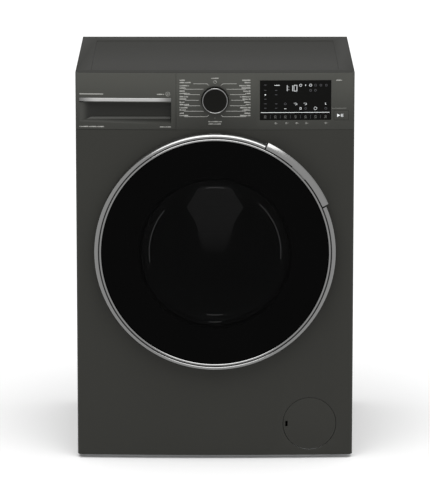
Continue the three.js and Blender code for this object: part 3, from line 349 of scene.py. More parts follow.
@dataclass(frozen=True)
class Enamel:
    """Satin enamel on sheet steel: faint orange peel and a slow drift in tone."""

    name: str
    colour: Colour
    roughness: float = 0.42
    peel: float = 0.00004

    def material(self) -> bpy.types.Material:
        """Builds the material.

        Returns:
            The finished material.
        """
        sh = Shader(self.name)
        cloud = sh.noise(3.0, 2.0)
        speck = sh.noise(900.0, 1.0)
        colour = sh.mix(cloud, shade(self.colour, 0.94), shade(self.colour, 1.06))
        sh.set(Base_Color=sh.mix(speck.ramp(0.62, 0.72) * 0.25, colour, shade(self.colour, 1.35)),
               Roughness=self.roughness + (cloud - 0.5) * 0.08)
        sh.set(Specular_IOR_Level=0.2)
        sh.bump(sh.noise(420.0, 2.0), self.peel)
        return sh.material


@dataclass(frozen=True)
class Moulded:
    """Moulded plastic with a fine spark-eroded grain; it can carry a painted highlight towards its
    top and painted shade in its recesses.
    """

    name: str
    colour: Colour
    roughness: float = 0.42
    grain: float = 0.00003
    scale: float = 1800.0
    painted_highlight_span: tuple[float, float] | None = None
    specular: float = 0.3
    hollow: float = 1.0

    def material(self) -> bpy.types.Material:
        """Builds the material; fade gives the heights between which the tone rises, a painted
        highlight for the sky's light on the panel's upper part.

        Returns:
            The finished material.
        """
        sh = Shader(self.name)
        grain = sh.noise(self.scale, 2.0)
        cloud = sh.noise(6.0, 2.0)
        colour = sh.mix(cloud, shade(self.colour, 0.95), shade(self.colour, 1.05))
        # Painted highlight: the tone is lifted towards the top of the span, standing in for sky
        # light on the upper part.
        if self.painted_highlight_span:
            lighter = shade(self.colour, 1.55)
            upper = sh.mix(cloud, lighter, shade(lighter, 1.05))
            colour = sh.mix(sh.axis("Z").ramp(*self.painted_highlight_span), colour, upper)
        # Painted shade: the colour darkens the deeper a face lies behind the bowed front, shade
        # painted into recesses.
        if self.hollow < 1.0:
            bowed = (sh.axis("X") * (1.0 / HALF_W)).power(2.0) * BOW
            depth = sh.axis("Y") - bowed - (CORNER_Y - BOW)
            colour = sh.mix(depth.ramp(2.0 * MM, 9.0 * MM), colour, shade(self.colour, self.hollow))
        sh.set(Base_Color=colour, Roughness=self.roughness + (grain - 0.5) * 0.12)
        sh.set(Specular_IOR_Level=self.specular)
        sh.bump(grain, self.grain)
        return sh.material


@dataclass(frozen=True)
class Plated:
    """Bright plating with a barely seen polish haze."""

    name: str
    colour: Colour
    roughness: float = 0.08

    def material(self) -> bpy.types.Material:
        """Builds the material.

        Returns:
            The finished material.
        """
        sh = Shader(self.name)
        haze = sh.noise(60.0, 4.0)
        sh.set(Base_Color=sh.mix(haze, shade(self.colour, 0.97), self.colour),
               Roughness=self.roughness + haze * 0.05)
        sh.set(Metallic=1.0)
        sh.bump(sh.noise(25.0, 2.0), 0.00002)
        return sh.material


@dataclass(frozen=True)
class PaintedShadeSatin:
    """Satin metal whose tone is painted deeper towards both ends of a span: painted shade for the
    reflection falling away along the strip.
    """

    name: str
    colour: Colour
    span: tuple[float, float]

    def material(self) -> bpy.types.Material:
        """Builds the material.

        Returns:
            The finished material.
        """
        sh = Shader(self.name)
        lines = sh.noise(700.0, 3.0, (0.03, 1.0, 1.0))
        centre = (self.span[0] + self.span[1]) / 2
        end = ((sh.axis("X") - centre) * (2.0 / (self.span[1] - self.span[0]))).absolute()
        # Painted shade: tone and brushed lines darken towards both ends of the span.
        deep = end.ramp(0.62, 1.05)
        tone = sh.mix(deep, self.colour, shade(self.colour, 0.3))
        line = sh.mix(deep, shade(self.colour, 0.94), shade(self.colour, 0.28))
        sh.set(Base_Color=sh.mix(lines, tone, line), Roughness=0.3 + (lines - 0.5) * 0.1)
        sh.set(Metallic=0.35, Specular_IOR_Level=0.3)
        return sh.material


@dataclass(frozen=True)
class Brushed:
    """Metal with fine lines along one direction."""

    name: str
    colour: Colour
    stretch: Point
    roughness: float = 0.28

    def material(self) -> bpy.types.Material:
        """Builds the material.

        Returns:
            The finished material.
        """
        sh = Shader(self.name)
        lines = sh.noise(900.0, 3.0, self.stretch)
        cloud = sh.noise(8.0, 3.0)
        sh.set(Base_Color=sh.mix(lines, shade(self.colour, 0.86), self.colour),
               Roughness=self.roughness + (lines - 0.5) * 0.16 + (cloud - 0.5) * 0.06)
        sh.set(Metallic=1.0)
        sh.bump(lines, 0.00002)
        return sh.material


@dataclass(frozen=True)
class Perforated:
    """Brushed sheet rolled round the drum's axis, with staggered rows of small holes painted near
    black: painted shade for the dark behind them.
    """

    name: str
    colour: Colour
    radius: float
    axis_z: float
    count: int = 84
    pitch: float = 15.0 * MM
    hole: float = 1.9 * MM

    def material(self) -> bpy.types.Material:
        """Builds the material.

        Returns:
            The finished material.
        """
        sh = Shader(self.name)
        across = sh.axis("X")
        up = sh.axis("Z") - self.axis_z
        along = sh.axis("Y") * (1.0 / self.pitch)
        around = across.angle_to(up) * (self.count / math.tau) + along.floor().modulo(2.0) * 0.5
        du = (around.modulo(1.0) - 0.5) * (math.tau * self.radius / self.count)
        dv = (along.modulo(1.0) - 0.5) * self.pitch
        distance = (du.power(2.0) + dv.power(2.0)).power(0.5)
        on_wall = (across.power(2.0) + up.power(2.0)) > (self.radius * 0.975) ** 2
        holes = (1.0 - distance.ramp(self.hole - 0.3 * MM, self.hole + 0.3 * MM)) * on_wall
        lines = sh.noise(900.0, 3.0, (1.0, 0.02, 1.0))
        sheet = sh.mix(lines, shade(self.colour, 0.86), self.colour)
        # Painted shade: the holes are painted on the sheet, their near-black colour stands for the
        # dark seen through them; bump and roughness give them their form.
        sh.set(Base_Color=sh.mix(holes, sheet, (0.01, 0.01, 0.01)),
               Roughness=0.27 + (lines - 0.5) * 0.14 + holes * 0.3)
        sh.set(Metallic=1.0 - holes)
        sh.bump((1.0 - holes) * 4.0 + lines * 0.1, 0.0002)
        return sh.material


@dataclass(frozen=True)
class Galvanised:
    """Zinc-coated sheet with its crystal pattern."""

    name: str
    colour: Colour

    def material(self) -> bpy.types.Material:
        """Builds the material.

        Returns:
            The finished material.
        """
        sh = Shader(self.name)
        inputs = {"Vector": sh.place(), "Scale": 90.0}
        crystals = sh.node("ShaderNodeTexVoronoi", {}, inputs, output="Color")
        tone = sh.node("ShaderNodeSeparateColor", {}, {0: crystals})
        sh.set(Base_Color=sh.mix(tone, shade(self.colour, 0.84), shade(self.colour, 1.1)),
               Roughness=0.38 + tone * 0.16)
        sh.set(Metallic=0.85)
        sh.bump(sh.noise(300.0, 2.0), 0.00003)
        return sh.material


@dataclass(frozen=True)
class Rubber:
    """Matt rubber with dust in its pores."""

    name: str
    colour: Colour
    roughness: float = 0.7

    def material(self) -> bpy.types.Material:
        """Builds the material.

        Returns:
            The finished material.
        """
        sh = Shader(self.name)
        pores = sh.noise(1200.0, 3.0)
        dust = sh.noise(40.0, 4.0)
        sh.set(Base_Color=sh.mix(dust.ramp(0.45, 0.75) * 0.5, self.colour, shade(self.colour, 1.5)),
               Roughness=self.roughness + (pores - 0.5) * 0.2)
        sh.set(Specular_IOR_Level=0.35)
        sh.bump(pores, 0.00005)
        return sh.material


@dataclass(frozen=True)
class Concrete:
    """Cast concrete with grains and pin holes; the holes carry painted shade."""

    name: str
    colour: Colour

    def material(self) -> bpy.types.Material:
        """Builds the material.

        Returns:
            The finished material.
        """
        sh = Shader(self.name)
        grit = sh.noise(260.0, 8.0)
        holes = sh.node("ShaderNodeTexVoronoi", {}, {"Vector": sh.place(), "Scale": 120.0})
        pits = 1.0 - holes.ramp(0.08, 0.16)
        colour = sh.mix(grit, shade(self.colour, 0.75), shade(self.colour, 1.15))
        # Painted shade: pin holes darkened, shade in the holes, besides their bump.
        sh.set(Base_Color=sh.mix(pits, colour, shade(self.colour, 0.45)),
               Roughness=0.9 - pits * 0.1)
        sh.bump(grit - pits, 0.0004)
        return sh.material


@dataclass(frozen=True)
class DarkGlass:
    """Smoked glass of the door: nearly black, a little light comes through."""

    name: str
    opacity: float = 0.74
    border: tuple[float, float] = (0.655, 0.69)

    def material(self) -> bpy.types.Material:
        """Builds the material.

        Returns:
            The finished material.
        """
        sh = Shader(self.name)
        film = sh.noise(5.0, 2.0)
        sh.set(Base_Color=sh.mix(film, (0.0014, 0.0014, 0.0014), (0.002, 0.002, 0.002)),
               Roughness=0.03 + film * 0.03)
        radius = sh.axis("X").power(2.0) + (sh.axis("Z") - AXIS_Z).power(2.0)
        start, end = ((LENS_R * share) ** 2 for share in self.border)
        sh.set(Alpha=self.opacity + radius.ramp(start, end) * (1.0 - self.opacity))
        sh.set(Specular_IOR_Level=0.03)
        return sh.material


@dataclass(frozen=True)
class ClearGlass:
    """Thick clear glass, thin shell alpha with its own reflections."""

    name: str
    colour: Colour = (0.74, 0.78, 0.78)
    opacity: float = 0.12

    def material(self) -> bpy.types.Material:
        """Builds the material.

        Returns:
            The finished material.
        """
        sh = Shader(self.name)
        ripple = sh.noise(9.0, 2.0)
        edge = sh.node("ShaderNodeLayerWeight", {}, {"Blend": 0.35}, output="Facing")
        sh.set(Base_Color=sh.mix(ripple, shade(self.colour, 0.9), self.colour),
               Roughness=0.02 + ripple * 0.03, Alpha=self.opacity + edge * 0.4)
        sh.set(Specular_IOR_Level=0.6)
        sh.bump(ripple, 0.0002)
        return sh.material


@dataclass(frozen=True)
class Frosted:
    """Etched glass whose haze is strongest at the top of a span of heights; it can glow faintly
    though it gives no light of its own, a painted glow.
    """

    name: str
    colour: Colour
    span: tuple[float, float]
    painted_glow: float = 0.0

    def material(self) -> bpy.types.Material:
        """Builds the material; lamp sets the strength of a painted glow, light given off by glass
        that is no light source.

        Returns:
            The finished material.
        """
        sh = Shader(self.name)
        etch = sh.noise(700.0, 2.0)
        rise = sh.axis("Z").ramp(*self.span)
        sh.set(Base_Color=sh.mix(etch, shade(self.colour, 0.9), self.colour),
               Roughness=0.55 + etch * 0.1, Alpha=0.02 + rise * 0.85,
               Emission_Color=sh.mix(etch, (0.95, 0.95, 0.95), (1.0, 1.0, 1.0)))
        # Painted glow: emission on glass that is no light source.
        sh.set(Specular_IOR_Level=0.1, Emission_Strength=self.painted_glow)
        return sh.material


@dataclass(frozen=True)
class Print:
    """Screen print, thin and slightly uneven."""

    name: str
    colour: Colour
    glow: float = 0.0

    def material(self) -> bpy.types.Material:
        """Builds the material.

        Returns:
            The finished material.
        """
        sh = Shader(self.name)
        ink = sh.noise(2500.0, 2.0)
        sh.set(Base_Color=sh.mix(ink, shade(self.colour, 0.85), self.colour),
               Roughness=0.5 + ink * 0.1)
        if self.glow:
            sh.set(Emission_Color=sh.mix(ink, shade(self.colour, 0.9), self.colour))
            sh.set(Emission_Strength=self.glow)
        return sh.material


class Finish(Enum):
    """Every finish on the machine, by its slot in the record."""

    BODY = "body_paint"
    PANEL = "panel_plastic"
    WORKTOP = "worktop"
    CHROME = "chrome"
    BLACK_GLASS = "black_glass"
    DIAL = "dial_black"
    BOWL = "bowl_glass"
    STAINLESS = "stainless"
    ZINC = "zinc"
    STEEL = "steel"
    ALLOY = "cast_alloy"
    BLACK = "black_plastic"
    GREY = "grey_plastic"
    WHITE = "white_plastic"
    SEAL = "seal_rubber"
    BLACK_RUBBER = "black_rubber"
    CONCRETE = "concrete"
    BOARD = "circuit_board"


BODY_TONE: Colour = (0.0312, 0.0312, 0.0272)

LOOKS = {
    Finish.BODY: Enamel("body_paint", BODY_TONE),
    # Panel plastic: painted highlight towards its top, painted shade in its recesses.
    Finish.PANEL: Moulded("panel_plastic", (0.044, 0.0445, 0.0395), painted_highlight_span=(0.735, 0.845),
                          specular=0.2, hollow=0.55),
    Finish.WORKTOP: Moulded("worktop", (0.036, 0.036, 0.033), 0.55, 0.00005, 900.0, specular=0.06),
    Finish.CHROME: Plated("chrome", (0.46, 0.46, 0.455), 0.14),
    Finish.BLACK_GLASS: DarkGlass("black_glass"),
    Finish.DIAL: Moulded("dial_black", (0.0075, 0.0075, 0.0065), 0.4, specular=0.08),
    Finish.BOWL: ClearGlass("bowl_glass"),
    Finish.STAINLESS: Brushed("stainless", (0.62, 0.62, 0.61), (1.0, 0.02, 1.0)),
    Finish.ZINC: Galvanised("zinc", (0.5, 0.51, 0.52)),
    Finish.STEEL: Brushed("steel", (0.55, 0.55, 0.55), (1.0, 1.0, 0.05), 0.32),
    Finish.ALLOY: Brushed("cast_alloy", (0.6, 0.6, 0.58), (1.0, 1.0, 1.0), 0.5),
    Finish.BLACK: Moulded("black_plastic", (0.014, 0.014, 0.014), 0.5),
    Finish.GREY: Moulded("grey_plastic", (0.28, 0.29, 0.3), 0.5),
    Finish.WHITE: Moulded("white_plastic", (0.72, 0.72, 0.7), 0.4),
    Finish.SEAL: Rubber("seal_rubber", (0.1, 0.103, 0.106)),
    Finish.BLACK_RUBBER: Rubber("black_rubber", (0.016, 0.016, 0.016)),
    Finish.CONCRETE: Concrete("concrete", (0.38, 0.37, 0.34)),
    Finish.BOARD: Moulded("circuit_board", (0.02, 0.12, 0.05), 0.3),
}


class Palette:
    """Builds each finish once and hands it out."""

    _made: dict[str, bpy.types.Material] = {}

    @classmethod
    def get(cls, finish: Finish) -> bpy.types.Material:
        """The material of a finish.

        Args:
            finish: the finish.

        Returns:
            Its material.
        """
        if finish.value not in cls._made:
            cls._made[finish.value] = LOOKS[finish].material()
        return cls._made[finish.value]

    @classmethod
    def extra(cls, look: "Print | Moulded | PaintedShadeSatin | Frosted | Perforated") -> bpy.types.Material:
        """The material of a look that is outside the record's slots.

        Args:
            look: the look.

        Returns:
            Its material.
        """
        if look.name not in cls._made:
            cls._made[look.name] = look.material()
        return cls._made[look.name]


# ------------------------------------------------------------------ modelling bench
class Bench:
    """Modelling by operators: each method leaves one finished object at the origin."""

    @staticmethod
    def clear() -> None:
        """Leaves edit mode and deselects everything."""
        if bpy.context.object and bpy.context.object.mode != "OBJECT":
            bpy.ops.object.mode_set(mode="OBJECT")
        bpy.ops.object.select_all(action="DESELECT")

    @classmethod
    def pick(cls, *objects: bpy.types.Object) -> None:
        """Selects objects and makes the first one active.

        Args:
            objects: what to select, the active one first.
        """
        cls.clear()
        for obj in objects:
            obj.select_set(True)
        bpy.context.view_layer.objects.active = objects[0]

    @classmethod
    def edit(cls, obj: bpy.types.Object) -> None:
        """Opens an object for editing with all of it selected.

        Args:
            obj: the object.
        """
        cls.pick(obj)
        bpy.ops.object.mode_set(mode="EDIT")
        bpy.ops.mesh.select_all(action="SELECT")

    @classmethod
    def chain(cls, name: str, points: Sequence[Point]) -> bpy.types.Object:
        """A chain of edges: one vertex extruded from point to point.

        Args:
            name: the object's name.
            points: the chain's points, in order.

        Returns:
            The object, still in edit mode.
        """
        cls.clear()
        bpy.ops.mesh.primitive_plane_add(size=MM, location=(0.0, 0.0, 0.0))
        obj = bpy.context.object
        obj.name = name
        bpy.ops.object.mode_set(mode="EDIT")
        bpy.ops.mesh.select_mode(type="VERT")
        bpy.ops.mesh.select_all(action="SELECT")
        bpy.ops.mesh.merge(type="CENTER")
        bpy.ops.transform.translate(value=points[0])
        for here, there in zip(points, points[1:]):
            step = tuple(b - a for a, b in zip(here, there))
            bpy.ops.mesh.extrude_region_move(TRANSFORM_OT_translate={"value": step})
        bpy.ops.mesh.select_all(action="SELECT")
        return obj

    @classmethod
    def close(cls, obj: bpy.types.Object, smooth: float = 30.0) -> bpy.types.Object:
        """Merges doubles, turns the faces outwards, leaves edit mode and smooths.

        Args:
            obj: the object in edit mode.
            smooth: edges sharper than this many degrees stay sharp.

        Returns:
            The same object.
        """
        bpy.ops.mesh.select_all(action="SELECT")
        bpy.ops.mesh.remove_doubles(threshold=1e-6)
        bpy.ops.mesh.normals_make_consistent(inside=False)
        bpy.ops.object.mode_set(mode="OBJECT")
        cls.pick(obj)
        bpy.ops.object.shade_smooth_by_angle(angle=math.radians(smooth))
        return obj

    @classmethod
    def turned(cls, name: str, profile: Profile, steps: int = 160, x: float = 0.0,
               z: float = AXIS_Z, arc: tuple[float, float] = (0.0, 360.0),
               smooth: float = 30.0) -> bpy.types.Object:
        """A profile spun about the axis that runs front to back.

        Args:
            name: the object's name.
            profile: closed line of (radius, y) points, or a line from axis to axis.
            steps: spin steps.
            x: the axis's x.
            z: the axis's height.
            arc: start and end angle clockwise from the top, in degrees.
            smooth: edges sharper than this many degrees stay sharp.

        Returns:
            The finished object.
        """
        start = math.radians(arc[0])
        points = [(x + r * math.sin(start), y, z + r * math.cos(start)) for r, y in profile]
        whole = arc[1] - arc[0] >= 360.0
        if profile[0][0] > 0.0:
            points.append(points[0])
        obj = cls.chain(name, points)
        bpy.ops.mesh.remove_doubles(threshold=1e-7)
        if not whole:
            bpy.ops.mesh.edge_face_add()
        sweep = -math.radians(arc[1] - arc[0])
        bpy.ops.mesh.spin(steps=steps, angle=sweep, center=(x, 0.0, z), axis=(0.0, 1.0, 0.0))
        if not whole:
            cls._cap_start()
        return cls.close(obj, smooth)

    @staticmethod
    def _cap_start() -> None:
        """Closes the end of a part turn that has no face."""
        bpy.ops.mesh.select_all(action="SELECT")
        bpy.ops.mesh.remove_doubles(threshold=1e-7)
        bpy.ops.mesh.select_all(action="DESELECT")
        bpy.ops.mesh.select_mode(type="EDGE")
        bpy.ops.mesh.select_non_manifold(extend=False)
        bpy.ops.mesh.edge_face_add()
        bpy.ops.mesh.select_mode(type="VERT")

    @classmethod
    def prism(cls, name: str, outline: Sequence[Point], depth: Point,
              smooth: float = 30.0) -> bpy.types.Object:
        """A flat outline filled and extruded along a vector.

        Args:
            name: the object's name.
            outline: the outline's points in order.
            depth: the vector to extrude along.
            smooth: edges sharper than this many degrees stay sharp.

        Returns:
            The finished object.
        """
        obj = cls.chain(name, outline)
        bpy.ops.mesh.edge_face_add()
        bpy.ops.mesh.extrude_region_move(TRANSFORM_OT_translate={"value": depth})
        return cls.close(obj, smooth)

    @classmethod
    def block(cls, name: str, corner0: Point, corner1: Point, bevel: float = 0.0,
              segments: int = 2) -> bpy.types.Object:
        """A box between two corners with rounded edges.

        Args:
            name: the object's name.
            corner0: one corner.
            corner1: the opposite corner.
            bevel: rounding of the edges, or zero.
            segments: faces across each rounding.

        Returns:
            The finished object.
        """
        cls.clear()
        centre = [(a + b) / 2 for a, b in zip(corner0, corner1)]
        bpy.ops.mesh.primitive_cube_add(size=1.0, location=(0.0, 0.0, 0.0))
        obj = bpy.context.object
        obj.name = name
        cls.edit(obj)
        size = [abs(b - a) for a, b in zip(corner0, corner1)]
        bpy.ops.transform.resize(value=size)
        bpy.ops.transform.translate(value=centre)
        bpy.ops.object.mode_set(mode="OBJECT")
        return cls.bevelled(obj, bevel, segments) if bevel else obj

    @classmethod
    def bevelled(cls, obj: bpy.types.Object, width: float, segments: int = 2,
                 angle: float = 30.0) -> bpy.types.Object:
        """Rounds an object's edges.

        Args:
            obj: the object.
            width: how far the rounding reaches.
            segments: faces across each rounding.
            angle: edges flatter than this many degrees stay.

        Returns:
            The same object.
        """
        cls.pick(obj)
        modifier = obj.modifiers.new("round", "BEVEL")
        modifier.width = width
        modifier.segments = segments
        modifier.limit_method = "ANGLE"
        modifier.angle_limit = math.radians(angle)
        modifier.harden_normals = False
        bpy.ops.object.modifier_apply(modifier=modifier.name)
        bpy.ops.object.shade_smooth_by_angle(angle=math.radians(40.0))
        return obj

    @classmethod
    def refined(cls, node: str, bevel: float, segments: int = 2, angle: float = 20.0,
                name: str = "") -> bpy.types.Object:
        """A node's own shape with its flats joined and its edges rounded.

        Args:
            node: the CAD node.
            bevel: rounding of the edges.
            segments: faces across each rounding.
            angle: edges flatter than this many degrees stay.
            name: the new piece's name, or empty for the node's with "_shaped".

        Returns:
            The new object.
        """
        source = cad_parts[node]
        obj = bpy.data.objects.new(name or f"{node}_shaped", source.data.copy())
        obj.data.materials.clear()
        bpy.context.scene.collection.objects.link(obj)
        cls.edit(obj)
        bpy.ops.mesh.remove_doubles(threshold=1e-5)
        bpy.ops.mesh.dissolve_limited(angle_limit=math.radians(0.2))
        bpy.ops.object.mode_set(mode="OBJECT")
        return cls.bevelled(obj, bevel, segments, angle)

    @classmethod
    def cut(cls, obj: bpy.types.Object, tool: bpy.types.Object,
            smooth: float = 24.0) -> bpy.types.Object:
        """Cuts one closed piece with another, which is used up.

        Args:
            obj: the piece that stays.
            tool: the piece that is taken away.
            smooth: edges sharper than this many degrees stay sharp.

        Returns:
            The cut piece.
        """
        cls.pick(obj)
        modifier = obj.modifiers.new("cut", "BOOLEAN")
        modifier.operation = "DIFFERENCE"
        modifier.solver = "EXACT"
        modifier.object = tool
        bpy.ops.object.modifier_apply(modifier=modifier.name)
        cls.drop(tool)
        cls.pick(obj)
        bpy.ops.object.shade_smooth_by_angle(angle=math.radians(smooth))
        return obj

    @classmethod
    def joined(cls, name: str, pieces: Sequence[bpy.types.Object]) -> bpy.types.Object:
        """Several objects as one.

        Args:
            name: the joined object's name.
            pieces: the objects, at least one.

        Returns:
            The joined object.
        """
        cls.pick(*pieces)
        if len(pieces) > 1:
            bpy.ops.object.join()
        obj = bpy.context.object
        obj.name = name
        return obj

    @staticmethod
    def copy(source: bpy.types.Object, matrix: Matrix, name: str) -> bpy.types.Object:
        """A copy with its own mesh, moved in the mesh.

        Args:
            source: the object to copy.
            matrix: where the copy goes.
            name: the copy's name.

        Returns:
            The copy.
        """
        obj = bpy.data.objects.new(name, source.data.copy())
        obj.data.transform(matrix)
        bpy.context.scene.collection.objects.link(obj)
        return obj

    @staticmethod
    def drop(obj: bpy.types.Object) -> None:
        """Deletes a pattern piece."""
        bpy.data.objects.remove(obj)


def dress(obj: bpy.types.Object, body: str, finish: Finish, stands_for: Iterable[str] = (),
          look: Print | Moulded | PaintedShadeSatin | Frosted | Perforated | None = None) -> bpy.types.Object:
    """Gives a new piece its material, its body and the nodes that it stands for.

    Args:
        obj: the piece.
        body: the body that it rides on.
        finish: its finish, which names the record's slot too.
        stands_for: CAD nodes that it replaces.
        look: a look of its own, in place of the finish's.

    Returns:
        The same object.
    """
    obj.data.materials.clear()
    obj.data.materials.append(Palette.extra(look) if look else Palette.get(finish))
    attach(obj, body)
    if stands_for:
        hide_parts(*stands_for)
    LOG.info("%s rides on %s: %d faces", obj.name, body, len(obj.data.polygons))
    return obj


def at_angle(radius: float, y: float, degrees: float) -> Point:
    """A point of the door's face by radius and angle clockwise from the top.

    Args:
        radius: distance from the door's axis.
        y: the point's y.
        degrees: clockwise from the top.

    Returns:
        The point.
    """
    angle = math.radians(degrees)
    return (radius * math.sin(angle), y, AXIS_Z + radius * math.cos(angle))


def arc_points(centre: tuple[float, float], radius: float, start: float, end: float,
               steps: int) -> list[tuple[float, float]]:
    """Points of an arc in a profile's own plane, angles in degrees.

    Args:
        centre: the arc's centre.
        radius: its radius.
        start: where it starts, in degrees.
        end: where it ends, in degrees.
        steps: how many steps it has.

    Returns:
        The points, one more than the steps.
    """
    angles = [math.radians(start + (end - start) * i / steps) for i in range(steps + 1)]
    return [(centre[0] + radius * math.cos(a), centre[1] + radius * math.sin(a)) for a in angles]


# ------------------------------------------------------------------ door
@dataclass
class Door:
    """The round door: bright ring, smoked glass, inner frame, bowl, handle, hinge and hook."""

    handle_from: float = 25.5
    handle_to: float = 66.2
    handle_proud: float = 6.0 * MM
    gap: float = 0.7
    glass_drop: float = 1.6 * MM
    band_end: float = LENS_R + 5.3 * MM
    groove_end: float = LENS_R + 7.6 * MM
    ring_wall: float = 5 * MM
    bowl_waist: float = CORNER_Y + 38 * MM
    screw_circle: float = 228 * MM

    def inner_band(self) -> list[tuple[float, float]]:
        """Front line of the narrow band next to the glass, from its inner edge outwards.

        Returns:
            Its (radius, y) points.
        """
        inner = LENS_R + 0.65 * MM
        crown = (self.band_end - inner) / 2
        centre = (inner + crown, FACE_Y + 2.7 * MM)
        arc = [(centre[0] + crown * math.cos(a), centre[1] - 2.2 * MM * math.sin(a))
               for a in (math.pi - math.pi * i / 12 for i in range(13))]
        return [(inner, FACE_Y + 9 * MM)] + arc

    def section(self) -> list[tuple[float, float]]:
        """The ring's whole section: narrow band, groove, broad rounded band and side wall.

        Returns:
            Its (radius, y) points.
        """
        start = self.groove_end
        groove = [(self.band_end, FACE_Y + 5 * MM), (start, FACE_Y + 5 * MM),
                  (start, FACE_Y + 1.3 * MM)]
        width = RING_R - start
        band = []
        for step in range(13):
            share = step / 12
            drop = 0.25 + 1.0 * (1 - share) ** 6 + 6.6 * share ** 3.2
            band.append((start + width * share, FACE_Y + drop * MM))
        inside = RING_R - self.ring_wall
        wall = [(RING_R, DOOR_BACK), (inside, DOOR_BACK), (inside, FACE_Y + 9.5 * MM)]
        return self.inner_band() + groove + band + wall

    def build_ring(self) -> None:
        """The bright ring; where the handle sits only its narrow band and its base go on."""
        ends = (self.handle_to + self.gap, 360.0 + self.handle_from - self.gap)
        front = Bench.turned("ring_front", self.section(), 240, arc=ends, smooth=24.0)
        pin, tall = middle("hinge_pin"), (high("hinge_pin").z - low("hinge_pin").z) / 2 + 1 * MM
        room = Bench.block("hinge_room", (-HALF_W, pin.y - 10.5 * MM, AXIS_Z - tall),
                           (pin.x + 13 * MM, DOOR_BACK + 10 * MM, AXIS_Z + tall))
        Bench.cut(front, room)
        inside = RING_R - self.ring_wall
        base = [(inside, DOOR_BACK - 4.6 * MM), (RING_R, DOOR_BACK - 4.6 * MM),
                (RING_R, DOOR_BACK), (inside, DOOR_BACK)]
        lip = self.inner_band() + [(self.band_end, FACE_Y + 9 * MM)]
        span = (self.handle_from - self.gap, self.handle_to + self.gap)
        pieces = [front] + [Bench.turned("part", line, 40, arc=span) for line in (base, lip)]
        dress(Bench.joined("door_ring_bright", pieces), "door", Finish.CHROME, ["door_ring"])
        # Painted shade: a black ring laid on the groove's floor, a dark piece where the groove
        # holds shade.
        near, far = self.band_end + 0.02 * MM, self.groove_end - 0.05 * MM
        dark = [(near, FACE_Y + 4.8 * MM), (near, FACE_Y + 2.4 * MM),
                (far, FACE_Y + 2.4 * MM), (far, FACE_Y + 4.8 * MM)]
        dress(Bench.turned("door_ring_groove", dark, 240, arc=ends), "door", Finish.BLACK)

    def build_handle(self) -> None:
        """The grip: the ring's broad band carried further out, with its ends cut square."""
        outer = RING_R + self.handle_proud
        inner = self.groove_end - 0.1 * MM
        shoulder = 0.5 * MM
        width = outer - inner - shoulder
        y = FACE_Y
        line = [(inner, y + 11.9 * MM), (inner, y + 1.2 * MM), (inner + shoulder, y + 0.5 * MM)]
        for step in range(1, 13):
            share = step / 12
            drop = 0.3 + 6.3 * share ** 1.6
            line.append((inner + shoulder + width * share, y + drop * MM))
        line += [(outer, y + 10.8 * MM), (outer - 1.1 * MM, y + 11.9 * MM)]
        grip = Bench.turned("grip", line, 60, arc=(self.handle_from, self.handle_to), smooth=28.0)
        Bench.bevelled(grip, 0.5 * MM, 3, 50.0)
        bead = 0.85 * MM
        edge_line = arc_points((outer - bead, y + 6.0 * MM), bead, 0.0, 330.0, 11)
        edge_arc = (self.handle_from + 9.0, self.handle_to - 0.4)
        edge = Bench.turned("edge", edge_line, 60, arc=edge_arc)
        tongue = Bench.block("tongue", (-19 * MM, 0, 0), (19 * MM, 3.4 * MM, 26 * MM), 0.6 * MM)
        middle_angle = (self.handle_from + self.handle_to) / 2
        place = Matrix.Translation((0, FACE_Y + 8.6 * MM, 230 * MM))
        lean = Matrix.Rotation(math.radians(middle_angle), 4, "Y")
        turn = Matrix.Translation((0, 0, AXIS_Z)) @ lean
        tongue.data.transform(turn @ place)
        handle = Bench.joined("door_handle_grip", [grip, edge, tongue])
        dress(handle, "handle", Finish.CHROME, ["door_handle"])

    def build_glass(self) -> None:
        """The smoked front glass, a shallow dome with a ground edge."""
        y = FACE_Y + self.glass_drop
        r = LENS_R
        crown = [(0.0, y + 0.05 * MM), (r * 0.3, y + 0.08 * MM), (r * 0.6, y + 0.2 * MM)]
        edge = [(r - 4 * MM, y + 0.45 * MM), (r - 1.2 * MM, y + 0.7 * MM), (r, y + 1.9 * MM)]
        back = [(r, y + 3.7 * MM), (r - 1 * MM, y + 4 * MM), (0.0, y + 4 * MM)]
        glass = Bench.turned("door_glass_smoked", crown + edge + back, 192)
        dress(glass, "door", Finish.BLACK_GLASS, ["door_lens"])

    def build_bowl(self) -> None:
        """The bowl: a pressed glass cup with a rolled rim and a rounded end."""
        end_y = high("door_bowl").y
        rim_y = low("door_bowl").y
        outer = [(0.0, end_y), (60 * MM, end_y - 0.4 * MM), (100 * MM, end_y - 2 * MM),
                 (112 * MM, end_y - 4 * MM), (119 * MM, end_y - 8 * MM),
                 (123.5 * MM, end_y - 14 * MM), (144 * MM, self.bowl_waist),
                 (148.5 * MM, rim_y + 16 * MM), (149.8 * MM, rim_y + 5 * MM)]
        rim = [(152 * MM, rim_y + 3.6 * MM), (157.6 * MM, rim_y + 3.6 * MM),
               (158.3 * MM, rim_y + 2.8 * MM), (158.3 * MM, rim_y + 1.0 * MM),
               (157.4 * MM, rim_y + 0.2 * MM), (147 * MM, rim_y + 0.2 * MM)]
        inner = [(145 * MM, rim_y + 4 * MM), (143.6 * MM, rim_y + 16 * MM),
                 (139 * MM, self.bowl_waist), (119 * MM, end_y - 16 * MM),
                 (114 * MM, end_y - 10 * MM), (106 * MM, end_y - 6.8 * MM),
                 (60 * MM, end_y - 5 * MM), (0.0, end_y - 4.6 * MM)]
        bowl = Bench.turned("door_bowl_glass", outer + rim + inner, 144, smooth=60.0)
        dress(bowl, "door", Finish.BOWL, ["door_bowl"])

